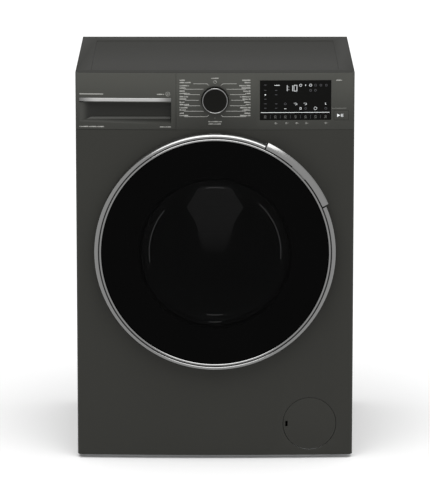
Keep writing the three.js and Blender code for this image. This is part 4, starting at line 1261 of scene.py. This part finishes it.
    def build_deflector(self) -> None:
        """The bowl's sloped facet, which leads the washing back, and the bead arcs of its lip; the
        facet is a painted light patch and the bead arcs are painted glints, both glowing faintly.
        """
        deep = high("door_bowl").y
        near = (self.bowl_waist + deep - 16 * MM) / 2 - 3 * MM
        levels = ((128.0, 33.0, near), (74.0, 62.0, deep - 9 * MM), (40.0, 42.0, deep - 8 * MM),
                  (-22.0, 26.0, deep - 8 * MM))
        left = [(-w * MM, y, AXIS_Z + z * MM) for z, w, y in levels]
        right = [(w * MM, y, AXIS_Z + z * MM) for z, w, y in levels]
        pieces = []
        for index in range(len(levels) - 1):
            corners = [left[index], right[index], right[index + 1], left[index + 1]]
            pieces.append(Bench.prism("facet", corners, (0.0, 1.2 * MM, 0.0)))
        facet = Bench.joined("door_bowl_deflector", pieces)
        # Painted light patch: the facet's haze rises towards the top and it glows faintly, standing
        # in for light seen through the smoked glass.
        haze = Frosted("bowl_etched_painted_glow", (0.3, 0.3, 0.3), (AXIS_Z - 70 * MM, AXIS_Z + 85 * MM), 0.085)
        dress(facet, "door", Finish.BOWL, look=haze)
        mouth = low("door_bowl").y + 9 * MM
        # Painted glints: pale bead arcs that glow, set only on the arcs where the lip catches the
        # light.
        painted_glints = []
        for radius, start, end in ((141.0, -8.0, 8.0), (141.5, -99.0, -50.0), (141.5, 42.0, 96.0),
                                   (138.5, 173.0, 187.0), (152.0, 175.0, 185.0)):
            centre = (radius * MM, mouth if radius < 150 else mouth - 8.6 * MM)
            line = arc_points(centre, 0.5 * MM, 0.0, 315.0, 7)
            painted_glints.append(Bench.turned("bead", line, 24, arc=(start, end)))
        dress(Bench.joined("door_bowl_beads", painted_glints), "door", Finish.BOWL,
              look=Print("bead_painted_glint", (0.75, 0.75, 0.75), 1.1))

    def build_frame(self) -> None:
        """The inner frame, its screws and the two bearing lugs."""
        shaped = Bench.refined("door_frame", 0.8 * MM, 2)
        dress(shaped, "door", Finish.BLACK, ["door_frame"])
        head = screw_head("screw", 4.2 * MM)
        pieces = []
        for index in range(8):
            angle = 22.5 + 45.0 * index
            spot = at_angle(self.screw_circle, DOOR_BACK + 0.25 * MM, angle)
            pieces.append(Bench.copy(head, Matrix.Translation(spot), "screw_copy"))
        Bench.drop(head)
        dress(Bench.joined("door_frame_screws", pieces), "door", Finish.STEEL)

    def build_metal(self) -> None:
        """Hinge arm, hinge plate and hook with their edges broken."""
        bodies = {"hinge_arm": "door", "latch_hook": "hook", "hinge_plate": "cabinet"}
        for node, body in bodies.items():
            dress(Bench.refined(node, 0.35 * MM, 2), body, Finish.STEEL, [node])

    def build(self) -> None:
        """Builds the whole door."""
        self.build_ring()
        self.build_handle()
        self.build_glass()
        self.build_bowl()
        self.build_deflector()
        self.build_frame()
        self.build_metal()


def screw_head(name: str, radius: float) -> bpy.types.Object:
    """A domed screw head with a cross recess, at the origin, facing +Y.

    Args:
        name: the object's name.
        radius: the head's radius.

    Returns:
        The finished object.
    """
    dome = [(0.0, radius * 0.42), (radius * 0.5, radius * 0.36), (radius * 0.85, radius * 0.2),
            (radius, 0.0), (radius, -radius * 0.2), (0.0, -radius * 0.2)]
    head = Bench.turned("dome", dome, 20, 0.0, 0.0)
    arms = [Bench.block("arm", (-radius * 0.55, radius * 0.3, -radius * 0.09),
                        (radius * 0.55, radius * 0.46, radius * 0.09), 0.02 * radius)]
    arms.append(Bench.copy(arms[0], Matrix.Rotation(math.pi / 2, 4, "Y"), "arm_across"))
    return Bench.joined(name, [head] + arms)


# ------------------------------------------------------------------ printed marks
@dataclass
class Prints:
    """Thin marks laid on the bowed front, gathered into one piece."""

    name: str
    body: str
    look: Print
    lift: float = 0.1 * MM
    step: float = 12.0 * MM
    pieces: list[bpy.types.Object] = field(default_factory=list)
    pattern: bpy.types.Object | None = None

    def bar(self, x: float, z: float, width: float, height: float, turn: float = 0.0) -> None:
        """One flat rectangle.

        Args:
            x: its middle, in millimetres.
            z: its middle, in millimetres.
            width: size along its own length, in millimetres.
            height: size across, in millimetres.
            turn: angle above the horizontal, in radians.
        """
        if self.pattern is None:
            self.pattern = Bench.block("mark", (-0.5, -0.5, -0.5), (0.5, 0.5, 0.5))
        across = x * MM
        slope = math.atan(2 * BOW * across / HALF_W ** 2)
        place = Matrix.Translation((across, front_y(across) - self.lift, z * MM))
        turned = Matrix.Rotation(slope, 4, "Z") @ Matrix.Rotation(-turn, 4, "Y")
        size = Matrix.Diagonal((width * MM, 0.08 * MM, height * MM, 1.0))
        self.pieces.append(Bench.copy(self.pattern, place @ turned @ size, "mark_copy"))

    def line(self, start: tuple[float, float], end: tuple[float, float], width: float) -> None:
        """A straight line between two (x, z) points, in short lengths that follow the bow.

        Args:
            start: where it starts, in millimetres.
            end: where it ends, in millimetres.
            width: its width, in millimetres.
        """
        length = math.dist(start, end)
        count = max(1, math.ceil(length * MM / self.step))
        turn = math.atan2(end[1] - start[1], end[0] - start[0])
        for i in range(count):
            share = (i + 0.5) / count
            x = start[0] + (end[0] - start[0]) * share
            z = start[1] + (end[1] - start[1]) * share
            self.bar(x, z, length / count + 0.02, width, turn)

    def outline(self, points: Sequence[tuple[float, float]], width: float) -> None:
        """A line through (x, z) points.

        Args:
            points: the points in order, in millimetres.
            width: the line's width, in millimetres.
        """
        for start, end in zip(points, points[1:]):
            self.line(start, end, width)

    def circle(self, x: float, z: float, radius: float, width: float, steps: int = 20,
               start: float = 0.0, end: float = 360.0) -> None:
        """A round line, or part of one, angles in degrees from the right.

        Args:
            x: its middle, in millimetres.
            z: its middle, in millimetres.
            radius: its radius, in millimetres.
            width: the line's width, in millimetres.
            steps: how many straight pieces it has.
            start: where it starts, in degrees.
            end: where it ends, in degrees.
        """
        points = arc_points((0, 0), radius, start, end, steps)
        self.outline([(x + a, z + b) for a, b in points], width)

    def word(self, x: float, z: float, length: float, height: float = 2.0, seed: int = 1,
             side: int = 1) -> None:
        """A row of small upright strokes that stands for a short label.

        Args:
            x: where it starts.
            z: its middle.
            length: how far it runs.
            height: height of its strokes.
            seed: picks the widths and gaps.
            side: 1 runs to the right, -1 to the left.
        """
        done = 0.0
        step = seed
        while done < length:
            step = (step * 7 + 3) % 11
            width = 0.75 + 0.07 * step
            tall = height * (1.0 if step % 3 else 0.7)
            self.bar(x + side * (done + width / 2), z - (height - tall) / 2, width, tall)
            done += width + (1.5 if step == 4 else 0.5)

    def digit(self, x: float, z: float, height: float, lit: str) -> None:
        """A seven segment figure; lit names its segments, from a at the top round to g.

        Args:
            x: its left edge, in millimetres.
            z: its middle, in millimetres.
            height: its height, in millimetres.
            lit: the lit segments.
        """
        w = height * 0.5
        t = height * 0.075
        half = height / 2
        ends = {"a": ((0, half), (w, half)), "b": ((w, half), (w, 0)), "c": ((w, 0), (w, -half)),
                "d": ((0, -half), (w, -half)), "e": ((0, 0), (0, -half)), "f": ((0, half), (0, 0)),
                "g": ((0, 0), (w, 0))}
        for name in lit:
            (x0, z0), (x1, z1) = ends[name]
            self.line((x + x0, z + z0), (x + x1, z + z1), t)

    def finish(self) -> None:
        """Joins the marks and puts them on their body."""
        Bench.drop(self.pattern)
        piece = Bench.joined(self.name, self.pieces)
        dress(piece, self.body, Finish.PANEL, look=self.look)


# ------------------------------------------------------------------ control panel
DISPLAY = Moulded("display_glass", (0.0045, 0.0045, 0.0041), 0.14, 0.0, specular=0.08)
MARK = Print("mark_pale", (0.8, 0.8, 0.76))
MARK_DIM = Print("mark_dim", (0.5, 0.5, 0.47))
KEY_SIGN = Print("key_sign", (0.2, 0.2, 0.19))
LIT = Print("display_lit", (0.8, 0.82, 0.83), 0.25)
DIM = Print("display_dim", (0.1, 0.1, 0.11))
ON_GLASS = 0.18 * MM


@dataclass
class ControlPanel:
    """Panel, dial, display and start key with the marks round them."""

    rows: tuple[float, ...] = (827.0, 815.2, 803.5, 791.3, 779.4, 767.6, 755.7)
    dial_z: float = 791.8

    def build_panel(self) -> None:
        """The panel moulding and its start key."""
        for node, body in (("control_panel", "cabinet"), ("start_button", "start_button")):
            dress(Bench.refined(node, 0.8 * MM, 3), body, Finish.PANEL, [node])

    def build_dial(self) -> None:
        """The dial: black body, flat face, bright ring, dark collar."""
        base = low("dial").y
        r = (high("dial").z - low("dial").z) / 2
        z = middle("dial").z
        end = high("dial").y
        stem_r = 4.2 * MM
        face = [(0.0, base + 0.35 * MM), (r - 3.2 * MM, base + 0.35 * MM),
                (r - 2.3 * MM, base + 0.1 * MM)]
        side = [(r - 1.5 * MM, base), (r - 0.3 * MM, base + 0.9 * MM), (r, base + 2.2 * MM)]
        back = [(r, base + 13 * MM), (r - 1 * MM, base + 13.6 * MM), (5 * MM, base + 13.6 * MM)]
        stem = [(stem_r, base + 14 * MM), (stem_r, end), (0.0, end)]
        body = Bench.turned("dial_body", face + side + back + stem, 96, z=z)
        dress(body, "dial", Finish.DIAL, ["dial"])
        ring_line = [(r - 1.75 * MM, base + 0.5 * MM), (r - 1.75 * MM, base - 0.02 * MM),
                     (r - 1.2 * MM, base - 0.28 * MM), (r - 0.4 * MM, base - 0.02 * MM),
                     (r + 0.15 * MM, base + 0.7 * MM), (r + 0.15 * MM, base + 1.9 * MM)]
        ring = Bench.turned("dial_ring", ring_line, 120, z=z)
        dress(ring, "dial", Finish.CHROME)
        front = CORNER_Y - BOW - 3.1 * MM
        collar_line = [(r + 0.8 * MM, front + 0.2 * MM), (r + 1.2 * MM, front),
                       (r + 2.2 * MM, front + 0.1 * MM), (r + 2.9 * MM, front + 1.0 * MM),
                       (r + 3.0 * MM, front + 3.6 * MM), (r + 0.8 * MM, front + 3.6 * MM)]
        collar = Bench.turned("dial_collar", collar_line, 96, z=z)
        dress(collar, "cabinet", Finish.DIAL)

    def build_display(self) -> None:
        """The display's black glass."""
        glass = Bench.refined("display_lens", 0.4 * MM, 3)
        dress(glass, "cabinet", Finish.BLACK_GLASS, ["display_lens"], DISPLAY)

    def print_programmes(self) -> None:
        """Leader lines and labels either side of the dial."""
        lines = Prints("programme_lines", "cabinet", MARK)
        labels = Prints("programme_labels", "cabinet", MARK_DIM)
        reach = (46.0, 66.0, 66.0, 64.0, 66.0, 66.0, 66.0)
        for side in (-1, 1):
            for index, z in enumerate(self.rows):
                rise = z - self.dial_z
                near = math.sqrt(max(34.0 ** 2 - rise ** 2, 17.0 ** 2))
                lines.line((side * near, z), (side * reach[index], z), 0.5)
                if abs(rise) > 30.0:
                    bent = (side * (near - 4.0), z - math.copysign(3.6, rise))
                    lines.line((side * near, z), bent, 0.5)
                for step, lift in enumerate((2.6, 7.6)):
                    length = 9.0 + (index * 7 + step * 5 + side * 2) % 15
                    labels.word(side * 75.5, z + lift, length, 2.6, index + step + side + 3, -side)
        lines.finish()
        labels.word(-8.0, 839.0, 17.0, 2.2, 4)
        labels.circle(0.0, 831.0, 3.2, 0.5)
        labels.line((0.0, 831.0), (1.8, 832.6), 0.5)
        labels.line((0.0, 751.0), (0.0, 753.5), 0.5)
        for z in (745.0, 740.0):
            labels.word(-14.0, z, 28.0, 2.2, int(z) % 9)
        labels.word(259.0, 833.8, 12.0, 2.4, 2)
        labels.finish()

    def print_drawer(self) -> None:
        """Small generic labels above and below the drawer's grip."""
        words = Prints("drawer_labels", "drawer", MARK_DIM)
        words.word(-290.0, 804.0, 50.0, 2.3, 5)
        words.word(-124.0, 804.0, 15.0, 2.3, 3)
        words.circle(-101.0, 804.5, 4.4, 0.55)
        words.circle(-101.0, 804.5, 1.6, 0.5, 10)
        words.word(-290.0, 733.4, 53.0, 2.3, 8)
        words.word(-118.0, 733.4, 23.0, 1.9, 6)
        words.finish()

    def print_display(self) -> None:
        """What the display shows."""
        lit = Prints("display_figures", "cabinet", LIT, lift=ON_GLASS)
        lit.line((98.0, 764.4), (245.0, 764.4), 0.95)
        for x, segments in ((148.0, "bc"), (159.6, "bc"), (168.8, "abcdef")):
            lit.digit(x, 817.1, 12.6, segments)
        for z in (813.8, 820.0):
            lit.bar(157.6, z, 1.1, 1.1)
        for x, radius in ((183.1, 2.6), (204.3, 2.6)):
            lit.circle(x, 823.3, radius, 0.7, 14)
        lit.bar(193.6, 823.3, 1.6, 2.6)
        lit.outline([(106.0, 803.6), (109.2, 803.6), (107.6, 801.6), (106.0, 803.6)], 0.8)
        lit.word(127.0, 823.3, 10.0, 1.6, 3)
        lit.line((147.8, 772.6), (152.8, 772.6), 0.8)
        lit.outline([(181.6, 771.0), (181.6, 775.2), (184.6, 775.2), (184.6, 771.0),
                     (181.6, 771.0)], 0.8)
        lit.circle(214.8, 773.1, 3.1, 0.6, 16)
        lit.outline([(236.0, 785.4), (236.0, 781.6), (238.0, 781.6)], 0.9)
        for x in (172.2, 192.9):
            lit.outline([(x - 3.4, 784.6), (x + 2.6, 784.6), (x + 3.4, 782.0),
                         (x - 1.0, 780.4)], 0.6)
        lit.finish()
        keys = Prints("display_keys", "cabinet", KEY_SIGN, lift=ON_GLASS)
        for index in range(7):
            x = 107.6 + 21.5 * index
            keys.circle(x, 755.9, 1.9, 0.6, 10)
            keys.line((x - 3.0, 752.6), (x + 3.0, 752.6), 0.5)
        keys.finish()
        dim = Prints("display_dim_marks", "cabinet", DIM, lift=ON_GLASS)
        for z in (824.1, 812.6, 793.5, 783.3, 773.8):
            dim.line((105.2, z), (110.0, z), 0.9)
        for z in (812.6, 802.9, 783.3, 773.8):
            dim.line((128.4, z), (133.0, z), 0.9)
        for x, z in ((214.8, 823.3), (226.2, 823.3), (237.9, 823.3), (204.3, 812.1), (214.8, 812.1),
                     (150.3, 783.3), (194.0, 773.1), (237.0, 773.1)):
            dim.circle(x, z, 2.2, 0.7, 10)
        for index in range(6):
            x = 118.3 + 21.5 * index
            dim.line((x, 751.6), (x, 759.0), 0.5)
        dim.finish()

    def print_keys(self) -> None:
        """Icons under the display, on the start key and the lines round it."""
        icons = Prints("touch_icons", "cabinet", MARK_DIM)
        for x in (129.6, 152.7, 174.6, 195.3, 236.7):
            icons.circle(x, 741.2, 1.6, 0.6, 10)
            icons.line((x + 2.6, 741.2), (x + 4.4, 741.2), 0.5)
        icons.line((250.5, 773.0), (281.0, 773.0), 0.35)
        icons.finish()
        key = Prints("start_icon", "start_button", LIT, lift=0.16 * MM)
        for share in range(7):
            half = 3.4 * (1 - share / 7)
            key.bar(262.0 + 0.85 * share, 757.6, 0.9, 2 * half)
        for x in (270.4, 273.6):
            key.bar(x, 757.6, 1.2, 6.6)
        key.finish()

    def build(self) -> None:
        """Builds the panel and its marks."""
        self.build_panel()
        self.build_dial()
        self.build_display()
        self.print_programmes()
        self.print_drawer()
        self.print_display()
        self.print_keys()


# ------------------------------------------------------------------ drawer
# Grip plastic: the panel's plastic painted lighter, painted light on the upward-facing ledge and on
# the scoop near the face.
LEDGE = Moulded("drawer_grip", (0.062, 0.0625, 0.057), 0.4, specular=0.2)
# Scoop plastic: painted shade, darker the deeper it lies behind the face.
SCOOP = Moulded("drawer_scoop", (0.06, 0.0605, 0.055), 0.4, specular=0.2, hollow=0.4)
# Drawer strip: satin metal with painted shade towards both ends.
STRIP = PaintedShadeSatin("strip_satin", (0.56, 0.56, 0.55), (-0.2903, -0.0937))


@dataclass
class Drawer:
    """Detergent drawer: front with its grip hollow, bright strip, and the tray."""

    strip_from: float = -290.3 * MM
    strip_to: float = -93.7 * MM
    strip_low: float = 788.2 * MM
    strip_high: float = 795.5 * MM
    steps: int = 20

    def build_front(self) -> None:
        """The front moulding with its edges rounded."""
        front = Bench.refined("drawer_front", 0.8 * MM, 3)
        dress(front, "drawer", Finish.PANEL, ["drawer_front"])

    def build_strip(self) -> None:
        """The bright strip along the top of the grip, following the bow."""
        xs = [self.strip_from + (self.strip_to - self.strip_from) * i / self.steps
              for i in range(self.steps + 1)]
        outline = [(x, front_y(x) - 1.0 * MM, self.strip_low) for x in xs]
        outline += [(x, front_y(x) + 1.6 * MM, self.strip_low) for x in reversed(xs)]
        outline.append(outline[0])
        strip = Bench.prism("drawer_strip", outline, (0.0, 0.0, self.strip_high - self.strip_low))
        Bench.bevelled(strip, 0.9 * MM, 4, 60.0)
        dress(strip, "drawer", Finish.CHROME, look=STRIP)

    def build_ledge(self) -> None:
        """The sloped ledge along the bottom of the hollow, with a raised edge behind."""
        x0, x1 = self.strip_from + 14 * MM, self.strip_to - 1.2 * MM
        y, z = CORNER_Y, 740.9 * MM
        outline = [(x0, y + 10.6 * MM, z), (x0, y + 10.6 * MM, z + 12.5 * MM),
                   (x0, y + 8.2 * MM, z + 12.2 * MM), (x0, y + 5.6 * MM, z + 8.2 * MM),
                   (x0, y - 1.2 * MM, z + 2.2 * MM), (x0, y - 1.2 * MM, z)]
        ledge = Bench.prism("drawer_ledge", outline, (x1 - x0, 0.0, 0.0), 40.0)
        Bench.bevelled(ledge, 0.7 * MM, 2, 25.0)
        dress(ledge, "drawer", Finish.PANEL, look=LEDGE)

    def build_scoop(self) -> None:
        """The left end of the hollow, swept round from the face to the back."""
        x0 = self.strip_from - 0.1 * MM
        reach = 42.0 * MM
        back = CORNER_Y + 10.4 * MM
        face = front_y(x0) + 0.4 * MM
        curve = []
        for step in range(13):
            share = step / 12
            sweep = math.sin(share * math.pi / 2) ** 1.1
            curve.append((x0 + reach * share, face + (back - face) * sweep))
        low_z, high_z = 740.7 * MM, 786.2 * MM
        outline = [(x, y, low_z) for x, y in curve] + [(x0, back, low_z), (x0, face, low_z)]
        scoop = Bench.prism("drawer_scoop", outline, (0.0, 0.0, high_z - low_z), 40.0)
        dress(scoop, "drawer", Finish.PANEL, look=SCOOP)

    def build_tray(self) -> None:
        """The tray with its three compartments."""
        dress(Bench.refined("drawer_tray", 0.5 * MM, 2), "drawer", Finish.WHITE, ["drawer_tray"])

    def build(self) -> None:
        """Builds the drawer."""
        self.build_front()
        self.build_strip()
        self.build_ledge()
        self.build_scoop()
        self.build_tray()


# ------------------------------------------------------------------ cabinet
@dataclass
class Cabinet:
    """Outer sheet metal, worktop, rear and feet."""

    screw: float = 3.6 * MM

    def build_shells(self) -> None:
        """Every outer shell with its edges rolled."""
        shells = (("front_panel", 0.9, Finish.BODY), ("left_side_panel", 0.8, Finish.BODY),
                  ("right_side_panel", 0.8, Finish.BODY), ("top_panel", 1.1, Finish.WORKTOP),
                  ("rear_panel", 0.3, Finish.ZINC), ("base_tray", 0.4, Finish.ZINC),
                  ("rear_service_cover", 0.3, Finish.ZINC))
        for node, bevel, finish in shells:
            dress(Bench.refined(node, bevel * MM, 3), "cabinet", finish, [node])
        cover = Bench.refined("filter_cover", 0.5 * MM, 3)
        dress(cover, "filter_cover", Finish.BODY, ["filter_cover"])

    def build_rear(self) -> None:
        """Pressed ribs, blank rating plate and screws at the back."""
        back = high("rear_panel").y
        centre = middle("rear_service_cover")
        ribs = []
        for index in range(5):
            z = 0.07 + 0.038 * index
            rib = Bench.block("rib", (-0.2, back - 0.4 * MM, z),
                              (0.2, back + 2.2 * MM, z + 16 * MM))
            ribs.append(Bench.bevelled(rib, 2.0 * MM, 3))
        dress(Bench.joined("rear_ribs", ribs), "cabinet", Finish.ZINC)
        head = screw_head("screw", self.screw)
        radius = (high("rear_service_cover").x - low("rear_service_cover").x) / 2 - 7 * MM
        cover_y = low("rear_service_cover").y + 1.2 * MM
        spots = []
        for index in range(8):
            angle = math.radians(22.5 + 45 * index)
            across, up = radius * math.sin(angle), radius * math.cos(angle)
            spots.append((centre.x + across, cover_y, centre.z + up))
        for x in (-0.288, -0.1, 0.1, 0.288):
            for z in (0.02, 0.813):
                spots.append((x, back + 0.1 * MM, z))
        for z in (0.22, 0.42, 0.62):
            spots += [(-0.288, back + 0.1 * MM, z), (0.288, back + 0.1 * MM, z)]
        screws = [Bench.copy(head, Matrix.Translation(spot), "screw_copy") for spot in spots]
        Bench.drop(head)
        dress(Bench.joined("rear_screws", screws), "cabinet", Finish.STEEL)
        plate = Bench.block("rating_plate", (0.17, back + 0.05 * MM, 0.68),
                            (0.27, back + 0.5 * MM, 0.74), 0.1 * MM)
        dress(plate, "cabinet", Finish.WHITE)

    def build_feet(self) -> None:
        """Adjustable feet: round pads, each with a threaded stud."""
        for side in ("front_left", "front_right", "rear_left", "rear_right"):
            node = f"foot_{side}"
            centre = middle(node)
            r = (high(node).x - low(node).x) / 2
            pad_line = [(0.0, 0.0), (r - 1.5 * MM, 0.0), (r, 1.5 * MM), (r, 6 * MM),
                        (r - 2 * MM, 7.6 * MM), (6 * MM, 7.8 * MM), (4.9 * MM, 8.2 * MM)]
            thread = []
            top = high(node).z
            z = 8.4 * MM
            while z < top - 1.2 * MM:
                thread += [(4.2 * MM, z), (4.9 * MM, z + 0.5 * MM)]
                z += 1.0 * MM
            line = pad_line + thread + [(4.0 * MM, top - 0.2 * MM), (0.0, top)]
            points = [(centre.x + a, centre.y, b) for a, b in line]
            foot = Bench.chain(f"{node}_turned", points)
            bpy.ops.mesh.spin(steps=40, angle=math.tau, center=(centre.x, centre.y, 0.0),
                              axis=(0, 0, 1))
            Bench.close(foot, 35.0)
            dress(foot, node, Finish.BLACK_RUBBER, [node])

    def build(self) -> None:
        """Builds the cabinet."""
        self.build_shells()
        self.build_rear()
        self.build_feet()


# ------------------------------------------------------------------ inside
@dataclass
class Inside:
    """Everything behind the panels, each piece refined from its own shape."""

    fixed: tuple[tuple[str, float, Finish], ...] = (
        ("control_board", 0.3, Finish.BOARD), ("dispenser_housing", 0.6, Finish.GREY),
        ("inlet_valve", 0.5, Finish.WHITE), ("drain_pump", 0.8, Finish.GREY),
        ("door_lock", 0.6, Finish.WHITE), ("hinge_pin", 0.4, Finish.STEEL),
        ("cord_gland", 0.4, Finish.BLACK), ("damper_cylinder_left", 0.8, Finish.BLACK),
        ("damper_cylinder_right", 0.8, Finish.BLACK))
    moving: tuple[tuple[str, str, float, Finish], ...] = (
        ("tub_front", "tub", 0.8, Finish.GREY),
        ("tub_rear", "tub", 0.8, Finish.GREY),
        ("front_counterweight", "tub", 3.0, Finish.CONCRETE),
        ("top_counterweight", "tub", 4.0, Finish.CONCRETE),
        ("heater", "tub", 0.4, Finish.STAINLESS),
        ("bearing_front", "tub", 0.6, Finish.STEEL),
        ("bearing_rear", "tub", 0.6, Finish.STEEL),
        ("motor", "tub", 1.0, Finish.ALLOY),
        ("drive_belt", "tub", 0.4, Finish.BLACK_RUBBER),
        ("damper_rod_left", "tub", 0.8, Finish.GREY),
        ("damper_rod_right", "tub", 0.8, Finish.GREY),
        ("drum_spider", "drum", 1.5, Finish.ALLOY),
        ("drum_shaft", "drum", 0.8, Finish.STEEL),
        ("drum_pulley", "drum", 0.8, Finish.ALLOY),
        ("motor_pulley", "motor_rotor", 0.4, Finish.STEEL),
        ("pump_filter", "pump_filter", 0.8, Finish.GREY))
    soft: tuple[tuple[str, float, Finish], ...] = (
        ("sump_hose", 0.6, Finish.BLACK_RUBBER), ("fill_hose", 0.6, Finish.BLACK_RUBBER),
        ("spring_left", 0.2, Finish.STEEL), ("spring_right", 0.2, Finish.STEEL),
        ("door_seal", 1.0, Finish.SEAL))

    def build(self) -> None:
        """Builds every inner piece."""
        for node, bevel, finish in self.fixed:
            dress(Bench.refined(node, bevel * MM), "cabinet", finish, [node])
        for node, body, bevel, finish in self.moving:
            dress(Bench.refined(node, bevel * MM), body, finish, [node])
        self.build_soft()

    def build_soft(self) -> None:
        """Seal, hoses and springs, each refined from its own shape and left in place; the cabinet
        and tub ends worked out for them are not used.
        """
        for node, bevel, finish in self.soft:
            piece = Bench.refined(node, bevel * MM, 2)
            piece.data.materials.append(Palette.get(finish))
            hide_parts(node)
            centre, lower, upper = middle(node), low(node), high(node)
            fixed, riding = (centre.x, centre.y, upper.z), (centre.x, centre.y, lower.z)
            if node == "sump_hose":
                fixed, riding = riding, fixed
            if node == "door_seal":
                fixed, riding = (0.0, lower.y, AXIS_Z), (0.0, upper.y, AXIS_Z)
            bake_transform(piece)
            LOG.info("%s bends from the cabinet to the tub", piece.name)


# ------------------------------------------------------------------ drum
@dataclass
class Drum:
    """Perforated stainless drum with its three paddles."""

    paddle_edge: float = 5.0 * MM

    def build(self) -> None:
        """Shell and paddles."""
        shell = Bench.refined("drum_shell", 0.8 * MM, 2)
        radius = (high("drum_shell").x - low("drum_shell").x) / 2
        sheet = Perforated("drum_sheet", (0.6, 0.6, 0.59), radius, middle("drum_shell").z)
        dress(shell, "drum", Finish.STAINLESS, ["drum_shell"], sheet)
        for index in (1, 2, 3):
            node = f"paddle_{index}"
            dress(Bench.refined(node, self.paddle_edge, 4, 35.0), "drum", Finish.GREY, [node])


# ------------------------------------------------------------------ stage
@dataclass
class Stage:
    """Pale floor, soft light and the camera."""

    floor_size: float = 40.0
    camera_place: Point = (0.0, -8.415, 2.167)
    camera_tilt: float = 78.29
    lens: float = 283.9
    overhead: float = 2.3
    sky: float = 0.5
    floor_glow: float = 0.06

    def build_floor(self) -> None:
        """A large pale floor."""
        Bench.clear()
        bpy.ops.mesh.primitive_plane_add(size=self.floor_size, location=(0.0, 8.0, 0.0))
        floor = bpy.context.object
        floor.name = "floor"
        sh = Shader("floor_pale")
        sh.set(Base_Color=sh.mix(sh.noise(1.5, 2.0), (0.93, 0.93, 0.93), (0.95, 0.95, 0.95)),
               Roughness=0.8)
        sh.set(Specular_IOR_Level=0.0, Emission_Color=(1.0, 1.0, 1.0, 1.0),
               Emission_Strength=self.floor_glow)
        floor.data.materials.append(sh.material)
        floor.visible_glossy = False

    def build_light(self) -> None:
        """Even sky and one broad soft light from the front and above."""
        world = bpy.data.worlds.new("studio")
        bpy.context.scene.world = world
        world.use_nodes = True
        background = world.node_tree.nodes["Background"]
        background.inputs[0].default_value = (1.0, 1.0, 1.0, 1.0)
        background.inputs[1].default_value = self.sky
        Bench.clear()
        bpy.ops.object.light_add(type="SUN", location=(0.0, 0.0, 6.0),
                                 rotation=(math.radians(24.0), 0.0, 0.0))
        sun = bpy.context.object
        sun.name = "overhead"
        sun.data.energy = self.overhead
        sun.data.angle = math.radians(70.0)

    def build_camera(self) -> None:
        """The camera at the stated view."""
        Bench.clear()
        bpy.ops.object.camera_add(location=self.camera_place,
                                  rotation=(math.radians(self.camera_tilt), 0.0, 0.0))
        camera = bpy.context.object
        camera.data.lens = self.lens
        camera.data.sensor_width = 36.0
        camera.data.clip_end = 100.0
        bpy.context.scene.camera = camera
        bpy.context.scene.view_settings.view_transform = "Standard"

    def build(self) -> None:
        """Sets the whole stage."""
        self.build_floor()
        self.build_light()
        self.build_camera()


def main() -> None:
    """Builds the machine piece by piece, then the stage."""
    logging.basicConfig(level=logging.INFO, format="%(message)s")
    for part in (Cabinet(), ControlPanel(), Drawer(), Door(), Drum(), Inside(), Stage()):
        LOG.info("building %s", type(part).__name__)
        part.build()


if __name__ == "__main__":
    main()
